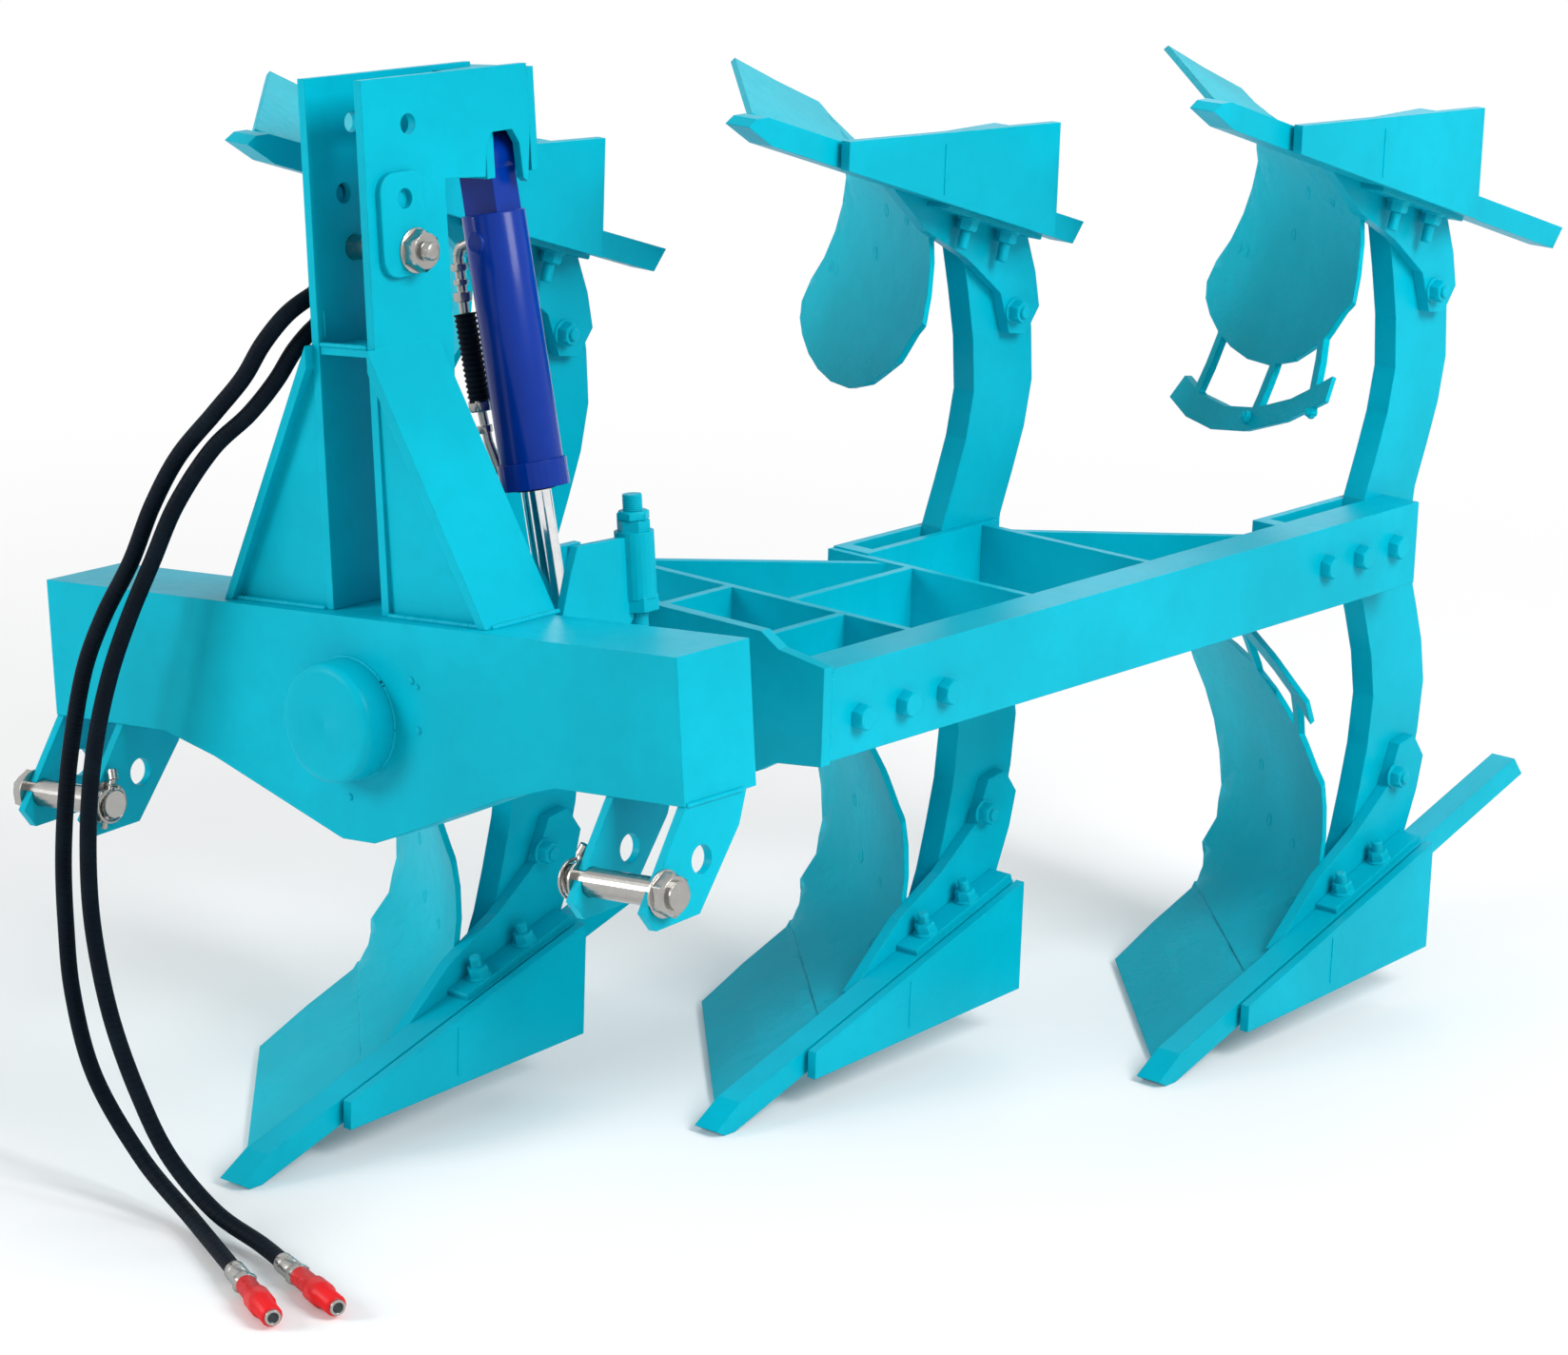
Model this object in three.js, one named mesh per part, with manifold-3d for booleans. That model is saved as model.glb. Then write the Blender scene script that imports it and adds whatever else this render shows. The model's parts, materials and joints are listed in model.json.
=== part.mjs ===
// Three-furrow reversible mouldboard plough, mounted, with a hydraulic turnover headstock.
// Millimetres. -Y is towards the tractor, +X the machine's left, +Z up.
// Everything is first laid out about the turnover axis, then the whole is set down on its base.
import * as THREE from 'three';
import Module from 'manifold-3d';

const wasm = await Module();
wasm.setup();

// ---- driving dimensions ----
const GAP = 0.3;              // clearance between pieces that touch
const PLATE = 12;             // general plate thickness

// cross beam of the headstock
const BEAM_HALF = 545;        // half length along X
const BEAM_TOP = 127;
const BEAM_END_LOW = -52;     // underside at the two ends
const BEAM_VEE_LOW = -157;    // underside at the middle
const BEAM_DEPTH = 130;       // along Y
const BEAM_WALL = 10;

// turnover bearing and shaft
const SHAFT_R = 50;
const BEARING_R = 76;
const CAP_DEPTH = 48;
const STOP_Y = 284;           // stop screws behind the cross beam
const STOP_X = 230;
const STOP_SCREW_R = 12;
const STOP_ARM_HALF = 30;     // half height of the arm that meets them
const STOP_LOW = 57.8;        // lower end of the stop screws
const HEAD_TILT = THREE.MathUtils.degToRad(6);   // headstock leans on its stop against the frame

// mast
const MAST_GAP = 84;          // clear width between the two side plates
const MAST_TOP = 783;
const MAST_FRONT = 24;
const MAST_REAR = 166;
const MAST_FOOT_HALF = 226;   // half width of the splayed foot
const MAST_FLARE_TOP = 458;
const MAST_BACK = 324;        // rear edge of the head that carries the cylinder
const EYE_Z = 665;            // upper cylinder pin
const EYE_Y = 296;
const EYE_PIN_R = 17;
const TOP_LINK_Y = 100;
const TOP_LINK_Z = 570;
const TOP_LINK_R = 15.5;

// lower hitch, category 3 spread
const HITCH_SPREAD = 965;
const HITCH_OUTER = BEAM_HALF;
const HITCH_PIN_Y = -44;
const HITCH_PIN_Z = -146;
const HITCH_PIN_R = 18;
const HITCH_LOW = -188;

// turnover cylinder
const CRANK_R = 90;
const BARREL_R = 40;
const BARREL_BORE = 31;
const BARREL_LENGTH = 423;    // upper pin to the end of the gland
const ROD_R = 19;
const ROD_EYE_R = 29;
const CRANK_SLOT = 24;        // half width between the crank's cheeks
const CRANK_PIN_PLAY = 0.5;   // from the ends of the crank pin to the cheeks
const CHEEK = 14;
const BRIDGE_IN = 58;         // the bridge that joins the cheeks, opposite the crank pin
const BRIDGE_OUT = 104;
const CYL_EYE_R = 34;

// plough frame
const FRAME_FRONT = 425;
const FRAME_REAR = 1765;
const RAIL_HALF = 60;         // half height of the rails
const RAIL_OUT = 405;         // outer face of the main rail
const RAIL_WIDTH = 60;
const RAIL_WALL = 7;
const FRONT_PLATE = 18;
const LADDER_1 = 678;         // cross plates between the rail and the shank holders
const LADDER_2 = 935;
const LADDER_3 = 1200;

// bodies
const TIP = { x: -238, y: 24, z: 704 };
const PITCH = { x: 308, y: 589 };
const SHANK_THICK = 36;
const SHANK_WIDTH = 132;
const SHANK_OUT = RAIL_OUT - RAIL_WIDTH - GAP - (TIP.x + 2 * PITCH.x);   // outer face, from the body's tip
const LANDSIDE_OUT = 46;
const LANDSIDE_THICK = 14;
const SOLE_FRONT = 56;        // landside sole above the tip, at its front and rear ends
const SOLE_REAR = 78;
const BAR_WIDTH = 40;
const BAR_HEIGHT = 34;
const BAR_SLOPE = THREE.MathUtils.degToRad(17.5);
const BAR_LENGTH = { lower: [826, 690, 949], upper: [826, 764, 949] };
const NOSE_LOW = 12;          // worn underside of the point
const SHEET = 9;              // share and mouldboard thickness

// ---- small tools ----
const colours = {
  paint: [0x12a8bd, 0.42, 0.1],
  board: [0x1b98a8, 0.45, 0.15],
  blue: [0x1c3f8f, 0.4, 0.1],
  chrome: [0xd0d4d8, 0.15, 1],
  steel: [0x9a9da0, 0.35, 0.9],
  rubber: [0x1a1a1c, 0.75, 0],
  red: [0xb01818, 0.45, 0.1],
};

function material(name) {
  const [color, roughness, metalness] = colours[name];
  return new THREE.MeshStandardMaterial({ color, roughness, metalness });
}

function weld(geometry) {
  const plain = geometry.index ? geometry.toNonIndexed() : geometry.clone();
  plain.deleteAttribute('normal');
  plain.deleteAttribute('uv');
  const p = plain.attributes.position;
  const seen = new Map();
  const verts = [];
  const tris = [];
  for (let i = 0; i < p.count; i += 1) {
    const at = [p.getX(i), p.getY(i), p.getZ(i)];
    const key = at.map((v) => Math.round(v * 1e4)).join(',');
    if (!seen.has(key)) {
      seen.set(key, verts.length / 3);
      verts.push(...at);
    }
    tris.push(seen.get(key));
  }
  const kept = [];
  for (let i = 0; i < tris.length; i += 3) {
    const [a, b, c] = tris.slice(i, i + 3);
    if (a !== b && b !== c && a !== c) kept.push(a, b, c);
  }
  return { verts, kept };
}

function solid(geometry) {
  const { verts, kept } = weld(geometry);
  const triVerts = new Uint32Array(kept);
  return new wasm.Manifold(new wasm.Mesh({
    numProp: 3, vertProperties: new Float32Array(verts), triVerts,
  }));
}

function geometryOf(man) {
  const mesh = man.getMesh();
  const geometry = new THREE.BufferGeometry();
  geometry.setAttribute('position', new THREE.BufferAttribute(new Float32Array(mesh.vertProperties), 3));
  geometry.setIndex(new THREE.BufferAttribute(new Uint32Array(mesh.triVerts), 1));
  geometry.computeVertexNormals();
  return geometry;
}

function box(x0, x1, y0, y1, z0, z1) {
  const g = new THREE.BoxGeometry(x1 - x0, y1 - y0, z1 - z0);
  g.translate((x0 + x1) / 2, (y0 + y1) / 2, (z0 + z1) / 2);
  return g;
}

function outline(points) {
  return new THREE.Shape(points.map(([a, b]) => new THREE.Vector2(a, b)));
}

// prism with its outline in (y, z), from x0 to x1
function prismX(points, x0, x1) {
  const g = new THREE.ExtrudeGeometry(outline(points), { depth: x1 - x0, bevelEnabled: false });
  g.applyMatrix4(new THREE.Matrix4().set(0, 0, 1, x0, 1, 0, 0, 0, 0, 1, 0, 0, 0, 0, 0, 1));
  return g;
}

// prism with its outline in (x, z), from y0 to y1
function prismY(points, y0, y1) {
  const g = new THREE.ExtrudeGeometry(outline(points), { depth: y1 - y0, bevelEnabled: false });
  g.applyMatrix4(new THREE.Matrix4().set(1, 0, 0, 0, 0, 0, -1, y1, 0, 1, 0, 0, 0, 0, 0, 1));
  return g;
}

// prism with its outline in (x, y), from z0 to z1
function prismZ(points, z0, z1) {
  const g = new THREE.ExtrudeGeometry(outline(points), { depth: z1 - z0, bevelEnabled: false });
  g.translate(0, 0, z0);
  return g;
}

function rodX(r, x0, x1, y, z, sides = 24) {
  const g = new THREE.CylinderGeometry(r, r, x1 - x0, sides);
  g.rotateZ(Math.PI / 2);
  g.translate((x0 + x1) / 2, y, z);
  return g;
}

function rodY(r, y0, y1, x, z, sides = 32) {
  const g = new THREE.CylinderGeometry(r, r, y1 - y0, sides);
  g.translate(x, (y0 + y1) / 2, z);
  return g;
}

function rodZ(r, z0, z1, x, y, sides = 32) {
  const g = new THREE.CylinderGeometry(r, r, z1 - z0, sides);
  g.rotateX(Math.PI / 2);
  g.translate(x, y, (z0 + z1) / 2);
  return g;
}

function join(...parts) {
  return parts.map((p) => (p.isBufferGeometry ? solid(p) : p)).reduce((a, b) => a.add(b));
}

function cut(base, ...tools) {
  const start = base.isBufferGeometry ? solid(base) : base;
  return tools.map((t) => (t.isBufferGeometry ? solid(t) : t)).reduce((a, b) => a.subtract(b), start);
}

function common(a, b) {
  const [p, q] = [a, b].map((t) => (t.isBufferGeometry ? solid(t) : t));
  return p.intersect(q);
}

const group = new THREE.Group();
const headstock = new THREE.Group();
headstock.rotation.y = -HEAD_TILT;
group.add(headstock);

function piece(parent, name, shape, colour) {
  const geometry = shape.isBufferGeometry ? shape : geometryOf(shape);
  const mesh = new THREE.Mesh(geometry, material(colour));
  mesh.name = name;
  parent.add(mesh);
  return mesh;
}

// ---- headstock ----
function beamSection(inset) {
  const half = BEAM_HALF - inset;
  const top = BEAM_TOP - inset;
  const end = BEAM_END_LOW + inset;
  const slope = inset * 1.06;
  return [
    [-half, end], [-340, end], [-250, end - 24], [-28, BEAM_VEE_LOW + slope],
    [28, BEAM_VEE_LOW + slope], [250, end - 24], [340, end], [half, end], [half, top], [-half, top],
  ];
}

function crossBeam() {
  const shell = cut(
    prismY(beamSection(0), 0, BEAM_DEPTH),
    prismY(beamSection(BEAM_WALL), BEAM_WALL, BEAM_DEPTH - BEAM_WALL),
    box(-24, 24, 40, 90, BEAM_VEE_LOW - 5, BEAM_VEE_LOW + 30),
  );
  const tube = rodY(BEARING_R, BEAM_WALL - 1, BEAM_DEPTH + 14, 0, 0);
  const bore = rodY(SHAFT_R + 0.5, -5, BEAM_DEPTH + 30, 0, 0);
  piece(headstock, 'cross_beam', cut(join(shell, tube), bore), 'paint');
}

function bearingCap() {
  const disc = rodY(BEARING_R, -CAP_DEPTH, -GAP, 0, 0);
  const centre = rodY(5, -CAP_DEPTH - 1, -CAP_DEPTH + 5, 0, 0, 12);
  piece(headstock, 'bearing_cap', cut(disc, centre), 'paint');
}

function mastOutline() {
  const foot = BEAM_TOP + GAP;
  return [
    [MAST_FRONT, foot], [152, foot], [MAST_REAR, 444], [MAST_REAR + 2, 650], [240, 644],
    [244, 680], [256, 698], [292, 698], [304, 680], [308, 636], [MAST_BACK - 8, 630],
    [MAST_BACK, 690], [MAST_BACK, MAST_TOP - 6], [MAST_FRONT + 8, MAST_TOP],
  ];
}

function mastSide(name, sign) {
  const inner = MAST_GAP / 2;
  const [x0, x1] = sign > 0 ? [inner, inner + PLATE] : [-inner - PLATE, -inner];
  const plate = prismX(mastOutline(), x0, x1);
  const foot = BEAM_TOP + GAP;
  const edge = sign * (inner + PLATE - 1);
  const lean = [[edge, MAST_FLARE_TOP], [sign * MAST_FOOT_HALF, foot], [sign * (MAST_FOOT_HALF - 13), foot],
    [edge, MAST_FLARE_TOP - 28]];
  const wing = [[edge, MAST_FLARE_TOP], [sign * MAST_FOOT_HALF, foot], [edge, foot]];
  const order = (pts) => (sign > 0 ? pts.slice().reverse() : pts);
  const flare = prismY(order(lean), 14, 140);
  const gusset = prismY(order(wing), 30, 42);
  const pin = rodX(TOP_LINK_R + GAP, x0 - 20, x1 + 20, TOP_LINK_Y, TOP_LINK_Z);
  const spare = [[109, 723], [88, 638]].map(([y, z]) => rodX(13, x0 - 20, x1 + 20, y, z));
  piece(headstock, name, cut(join(plate, flare, gusset), pin, ...spare), 'paint');
}

function mastWeb() {
  const half = MAST_GAP / 2 - GAP;
  piece(headstock, 'mast_web', box(-half, half, MAST_FRONT + 6, 150, 446, 456), 'paint');
}

function eyeBracket() {
  const half = MAST_GAP / 2 - GAP;
  const rearFace = MAST_BACK + GAP;
  const front = box(-half, half, EYE_Y - 40, EYE_Y - 26, EYE_Z - 26, 772);
  const top = box(-half, half, EYE_Y - 40, rearFace + 1, 760, 772);
  const rear = box(-half - PLATE, half + PLATE, rearFace, rearFace + PLATE, EYE_Z - 22, 772);
  const pin = rodY(EYE_PIN_R + GAP, 200, 400, 0, EYE_Z);
  piece(headstock, 'eye_bracket', cut(join(front, top, rear), pin), 'paint');
}

function pins() {
  piece(headstock, 'eye_pin', rodY(EYE_PIN_R, EYE_Y - 56, MAST_BACK + PLATE + 20, 0, EYE_Z), 'chrome');
  const half = MAST_GAP / 2 + PLATE + 22;
  piece(headstock, 'top_link_pin', rodX(TOP_LINK_R, -half, half, TOP_LINK_Y, TOP_LINK_Z), 'chrome');
}

function hitchPlate(name, x0) {
  const top = BEAM_END_LOW - GAP;
  const side = [
    [2, top], [112, top], [96, top - 40], [18, HITCH_LOW + 4], [-60, HITCH_LOW], [-78, HITCH_LOW + 24],
  ];
  const pin = rodX(HITCH_PIN_R + GAP, x0 - 5, x0 + PLATE + 5, HITCH_PIN_Y, HITCH_PIN_Z);
  const spare = rodX(HITCH_PIN_R, x0 - 5, x0 + PLATE + 5, 26, HITCH_PIN_Z + 26);
  piece(headstock, name, cut(prismX(side, x0, x0 + PLATE), pin, spare), 'paint');
}

function lowerHitch() {
  const inner = HITCH_SPREAD - HITCH_OUTER;
  hitchPlate('hitch_plate_left_outer', HITCH_OUTER - PLATE);
  hitchPlate('hitch_plate_left_inner', inner);
  hitchPlate('hitch_plate_right_inner', -inner - PLATE);
  hitchPlate('hitch_plate_right_outer', -HITCH_OUTER);
  const reach = 26;
  piece(headstock, 'hitch_pin_left',
    rodX(HITCH_PIN_R, inner - reach, HITCH_OUTER + reach, HITCH_PIN_Y, HITCH_PIN_Z), 'chrome');
  piece(headstock, 'hitch_pin_right',
    rodX(HITCH_PIN_R, -HITCH_OUTER - reach, -inner + reach, HITCH_PIN_Y, HITCH_PIN_Z), 'chrome');
}

function turnStop(name, x) {
  const y0 = BEAM_DEPTH + GAP;
  const side = [
    [y0, 2], [y0 + 30, 2], [STOP_Y - 15, 98], [STOP_Y - 15, 201], [y0 + 44, 204], [y0 + 30, 176], [y0, 96],
  ];
  const web = prismX(side, x - PLATE / 2, x + PLATE / 2);
  const sleeve = rodZ(25, 122, 206, x, STOP_Y, 24);
  const screw = rodZ(STOP_SCREW_R, STOP_LOW, 252, x, STOP_Y, 20);
  const nuts = [rodZ(21, 195, 220, x, STOP_Y, 6), rodZ(27, 106, 125, x, STOP_Y, 6)];
  piece(headstock, name, join(web, sleeve, screw, ...nuts), 'paint');
}

// ---- turnover cylinder ----
function crankPoint() {
  const a = -HEAD_TILT;
  return new THREE.Vector2(CRANK_R * Math.cos(a), CRANK_R * Math.sin(a));
}

function cylinder() {
  const pin = crankPoint();
  const away = new THREE.Vector2(pin.x, EYE_Z - pin.y);
  const length = away.length();
  const place = (g) => {
    g.rotateY(-Math.atan2(away.x, away.y));
    g.translate(0, 0, EYE_Z);
    return g;
  };
  const eye = join(rodY(CYL_EYE_R, EYE_Y - 22, EYE_Y + 22, 0, 0),
    box(-28, 28, EYE_Y - 22, EYE_Y + 22, -80, -6));
  const tube = rodZ(BARREL_R, -BARREL_LENGTH, -74, 0, EYE_Y);
  const gland = rodZ(BARREL_R + 4, -BARREL_LENGTH, -BARREL_LENGTH + 34, 0, EYE_Y);
  const bore = rodZ(BARREL_BORE, -BARREL_LENGTH + 30, -92, 0, EYE_Y);
  const mouth = rodZ(ROD_R + GAP, -BARREL_LENGTH - 5, -BARREL_LENGTH + 40, 0, EYE_Y);
  const pinHole = rodY(EYE_PIN_R + GAP, EYE_Y - 60, EYE_Y + 60, 0, 0);
  const barrel = cut(join(eye, tube, gland), bore, mouth, pinHole);
  piece(headstock, 'cylinder_barrel', place(geometryOf(barrel)), 'blue');
  const rodEye = rodY(ROD_EYE_R, EYE_Y - 22, EYE_Y + 22, 0, -length);
  const shaft = rodZ(ROD_R, -length, -BARREL_LENGTH + 90, 0, EYE_Y);
  const piston = rodZ(BARREL_BORE - GAP, -BARREL_LENGTH + 80, -BARREL_LENGTH + 120, 0, EYE_Y);
  const reach = CRANK_SLOT - CRANK_PIN_PLAY;
  const crankPin = rodY(EYE_PIN_R, EYE_Y - reach, EYE_Y + reach, 0, -length);
  piece(headstock, 'cylinder_rod', place(geometryOf(join(rodEye, shaft, piston, crankPin))), 'chrome');
}

// ---- plough frame ----
// the shaft is open between two crank cheeks, where the cylinder's foot swings across its middle
function turnoverShaft() {
  const slotFront = EYE_Y - CRANK_SLOT;
  const slotRear = EYE_Y + CRANK_SLOT;
  const front = rodY(SHAFT_R, 6, slotFront, 0, 0);
  const rear = rodY(SHAFT_R, slotRear, FRAME_FRONT - GAP, 0, 0);
  const collar = rodY(BEARING_R - 6, BEAM_DEPTH + 20, BEAM_DEPTH + 40, 0, 0);
  const cheek = (y0) => {
    const hub = rodY(SHAFT_R + 16, y0, y0 + CHEEK, 0, 0);
    const tip = rodY(34, y0, y0 + CHEEK, CRANK_R, 0);
    const arm = box(-BRIDGE_OUT, CRANK_R, y0, y0 + CHEEK, -34, 34);
    return join(hub, tip, arm);
  };
  const bridge = box(-BRIDGE_OUT, -BRIDGE_IN, slotFront - CHEEK, slotRear + CHEEK, -34, 34);
  const arm = prismY([[-BRIDGE_IN, -34], [-BRIDGE_IN, 34], [-STOP_X - 26, STOP_ARM_HALF], [-STOP_X - 26, 6]],
    STOP_Y - 22, STOP_Y + 6);
  const whole = join(front, rear, collar, cheek(slotFront - CHEEK), cheek(slotRear), bridge, arm);
  piece(group, 'turnover_shaft', whole, 'paint');
}

function shankX(i) {
  return TIP.x + i * PITCH.x + SHANK_OUT;
}

function frontPlate() {
  const side = [
    [-286, -62], [-90, -92], [300, -92], [330, -74], [RAIL_OUT, -64], [RAIL_OUT, 64], [330, 74], [300, 92],
    [-90, 92], [-286, 62],
  ];
  piece(group, 'front_plate', prismY(side, FRAME_FRONT, FRAME_FRONT + FRONT_PLATE), 'paint');
}

function mainRail() {
  const x0 = RAIL_OUT - RAIL_WIDTH;
  const y0 = FRAME_FRONT + FRONT_PLATE + GAP;
  const tube = box(x0, RAIL_OUT, y0, FRAME_REAR, -RAIL_HALF, RAIL_HALF);
  const hollow = box(x0 + RAIL_WALL, RAIL_OUT - RAIL_WALL, y0 + 12, FRAME_REAR + 5,
    -RAIL_HALF + RAIL_WALL, RAIL_HALF - RAIL_WALL);
  piece(group, 'main_rail', cut(tube, hollow), 'paint');
}

// plates clamping a shank: one each side of it, with a spacer ahead of it
function holder(name, i, from, to, outerToo) {
  const near = shankX(i) + GAP;
  const far = shankX(i) - SHANK_THICK - GAP;
  const low = 4 - RAIL_HALF;
  const inner = box(far - PLATE, far, from, to, low, -low);
  const spacer = box(far - 1, near + (outerToo ? 1 : -GAP - GAP), from, from + 24, low, -low);
  const outer = box(near, near + PLATE, from, to, low, -low);
  piece(group, name, outerToo ? join(inner, spacer, outer) : join(inner, spacer), 'paint');
}

function holders() {
  holder('shank_holder_1', 0, FRAME_FRONT + FRONT_PLATE + GAP, LADDER_1 + PLATE + 14, true);
  holder('shank_holder_2', 1, LADDER_2 + PLATE + GAP, LADDER_3 + PLATE + 28, true);
  holder('shank_holder_3', 2, FRAME_REAR - 260, FRAME_REAR, false);
}

// upright plate standing on a line in plan
function strip(from, to) {
  const a = new THREE.Vector2(...from);
  const b = new THREE.Vector2(...to);
  const side = b.clone().sub(a).normalize().rotateAround(new THREE.Vector2(), Math.PI / 2)
    .multiplyScalar(PLATE / 2);
  const ring = [a.clone().sub(side), b.clone().sub(side), b.clone().add(side), a.clone().add(side)];
  return prismZ(ring.map((v) => [v.x, v.y]), 8 - RAIL_HALF, RAIL_HALF - 8);
}

function crossPlate(x0, x1, y) {
  return box(x0, x1, y, y + PLATE, 6 - RAIL_HALF, RAIL_HALF - 6);
}

function longPlate(x, y0, y1) {
  return box(x - PLATE / 2, x + PLATE / 2, y0, y1, 6 - RAIL_HALF, RAIL_HALF - 6);
}

function ladder() {
  const rail = RAIL_OUT - RAIL_WIDTH - GAP;
  const front = FRAME_FRONT + FRONT_PLATE + GAP;
  const side1 = shankX(0) + GAP + PLATE + GAP;
  const side2 = shankX(1) + GAP + PLATE;
  piece(group, 'ladder_front', join(
    crossPlate(side1, rail, LADDER_1),
    longPlate(30, front, LADDER_1 + 1),
    longPlate(223, front, LADDER_1 + 1),
  ), 'paint');
  const behind1 = LADDER_1 + PLATE + GAP;
  const brace1 = common(strip([-190, 668], [92, 946]), box(-400, 400, behind1, LADDER_2 + 1, -200, 200));
  piece(group, 'ladder_middle', join(
    crossPlate(shankX(1) - SHANK_THICK - PLATE, rail, LADDER_2),
    longPlate(130, behind1, LADDER_2 + 1),
    brace1,
  ), 'paint');
  const brace2 = common(strip([66, 1190], [400, 1500]), box(side2 + GAP, rail, LADDER_3 + 1, 1600, -200, 200));
  piece(group, 'ladder_rear', join(crossPlate(side2 + GAP, rail, LADDER_3), brace2), 'paint');
}

// ---- bodies ----
// outline of a shank, y from the tip and z from the turnover axis
function shankOutline() {
  const mid = [[0, 570], [60, 578], [120, 602], [180, 624], [245, 637], [320, 630], [390, 614], [450, 598], [500, 578]];
  const half = SHANK_WIDTH / 2;
  const rear = mid.map(([z, y]) => [y + half, z]);
  const front = mid.map(([z, y]) => [y - half, z]);
  const upper = (pts) => pts.slice(1);
  const mirror = (pts) => upper(pts).map(([y, z]) => [y, -z]).reverse();
  return [...mirror(rear), ...rear, ...front.slice().reverse(), ...mirror(front).slice().reverse()];
}

function shank(i) {
  const y0 = TIP.y + i * PITCH.y;
  const side = shankOutline().map(([y, z]) => [y + y0, z]);
  piece(group, `shank_${i + 1}`, prismX(side, shankX(i) - SHANK_THICK, shankX(i)), 'paint');
}

// a sheet bent over the body: u runs along the cutting edge, h upwards, t through the sheet
const EDGE = THREE.MathUtils.degToRad(43.4);
const ALONG = new THREE.Vector2(-Math.sin(EDGE), Math.cos(EDGE));
const ACROSS = new THREE.Vector2(Math.cos(EDGE), Math.sin(EDGE));
const BOARD = new THREE.CatmullRomCurve3([
  [20, 20], [53, 42], [95, 67], [162, 104], [205, 126], [246, 154], [280, 190], [293, 250], [290, 316],
  [272, 390], [238, 484], [175, 600],
].map(([n, h]) => new THREE.Vector3(n, h, 0)));
const TWIST_RATE = 0.0036;    // how fast the sheet turns forward towards its wing
const TWIST_FROM = 95;
const TWIST_MOST = 0.2;
const SHIN_U = 348;

function twist(h) {
  return THREE.MathUtils.clamp(TWIST_RATE * (h - TWIST_FROM), 0, TWIST_MOST);
}

function sheetPoint(u, s, t) {
  const at = BOARD.getPointAt(s);
  const dir = BOARD.getTangentAt(s);
  const n = at.x - twist(at.y) * (u - SHIN_U) + t * dir.y;
  const h = at.y - t * dir.x;
  return new THREE.Vector3(
    u * ALONG.x + n * ACROSS.x, u * ALONG.y + n * ACROSS.y, h,
  );
}

function bentSheet(u0, u1, s0, s1, across, up) {
  const g = new THREE.BoxGeometry(1, 1, 1, across, up, 1);
  const p = g.attributes.position;
  for (let i = 0; i < p.count; i += 1) {
    const u = u0 + (u1 - u0) * (p.getX(i) + 0.5);
    const s = s0 + (s1 - s0) * (p.getY(i) + 0.5);
    const t = SHEET * (p.getZ(i) + 0.5);
    const v = sheetPoint(u, s, t);
    p.setXYZ(i, v.x, v.y, v.z);
  }
  return g;
}

// outline in (u, h), swept through the body across the sheet
function boardCutter(points) {
  const g = new THREE.ExtrudeGeometry(outline(points), { depth: 900, bevelEnabled: false });
  g.applyMatrix4(new THREE.Matrix4().set(
    ALONG.x, 0, ACROSS.x, -400 * ACROSS.x,
    ALONG.y, 0, ACROSS.y, -400 * ACROSS.y,
    0, 1, 0, 0,
    0, 0, 0, 1,
  ));
  return g;
}

const SHARE_TOP = 104;
const BAR_IN = 5 - BAR_WIDTH / 2;      // furrow-side face of the bar, from the tip

function shareShape() {
  const sheet = solid(bentSheet(-60, 780, 0, 0.4, 6, 4));
  const trim = boardCutter([[-80, -20], [462, -20], [650, SHARE_TOP], [-80, SHARE_TOP]]);
  const side = box(-700, BAR_IN - 1, -200, 1200, -20, 400);
  return common(common(sheet, trim), side);
}

// arc band beyond the free end of the rear mouldboards, with the struts that carry it
function edgeBand() {
  const at = (r, deg) => {
    const a = THREE.MathUtils.degToRad(deg);
    return [679 + r * Math.cos(a), r * Math.sin(a) - 64];
  };
  const steps = [80, 88, 97, 106, 115, 125];
  const ring = [...steps.map((d) => at(659, d)), ...steps.slice().reverse().map((d) => at(624, d))];
  const strut = (u0, h0, u1, h1) => boardCutter([[u0 - 10, h0], [u0 + 10, h0], [u1 + 10, h1], [u1 - 10, h1]]);
  return join(boardCutter(ring),
    strut(765, 450, 716, 570), strut(540, 450, 500, 552),
    strut(424, 390, 362, 482));
}

function boardShape(withBand) {
  const sheet = solid(bentSheet(60, 900, 0.16, 1, 14, 14));
  const low = SHARE_TOP + GAP;
  const trim = boardCutter([
    [40, low], [640, low], [700, 140], [760, 200], [803, 264], [850, 354], [877, 392], [882, 425],
    [862, 446], [820, 463], [760, 478], [695, 486], [620, 488], [540, 480], [475, 460], [400, 412],
    [372, 366], [300, 300], [200, 200], [40, 180],
  ]);
  const outlineTool = withBand ? join(trim, edgeBand()) : trim;
  const side = box(-700, SHANK_OUT - GAP, -200, 1200, -20, 600);
  return common(common(sheet, outlineTool), side);
}

function landsideShape() {
  const inner = LANDSIDE_OUT - LANDSIDE_THICK;
  const top = (y) => y * Math.tan(BAR_SLOPE) + BAR_HEIGHT + 4;
  const plate = prismX([[180, SOLE_FRONT], [636, SOLE_REAR], [636, top(636)], [180, top(180)]],
    inner, LANDSIDE_OUT);
  const earIn = SHANK_OUT + GAP;
  const earOut = BAR_IN - GAP;
  const ear = prismX([
    [330, 128], [590, 128], [630, 190], [676, 300], [688, 350], [660, 386], [622, 380], [598, 320],
    [520, 262], [430, 214],
  ], earIn, earOut);
  const foot = prismX([[330, 84], [590, 84], [590, 129], [330, 129]], earIn, inner + 1);
  const seat = prismX(barOutline(BAR_LENGTH.lower[2], GAP), earOut, inner);
  return join(plate, cut(join(ear, foot), seat));
}

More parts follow.
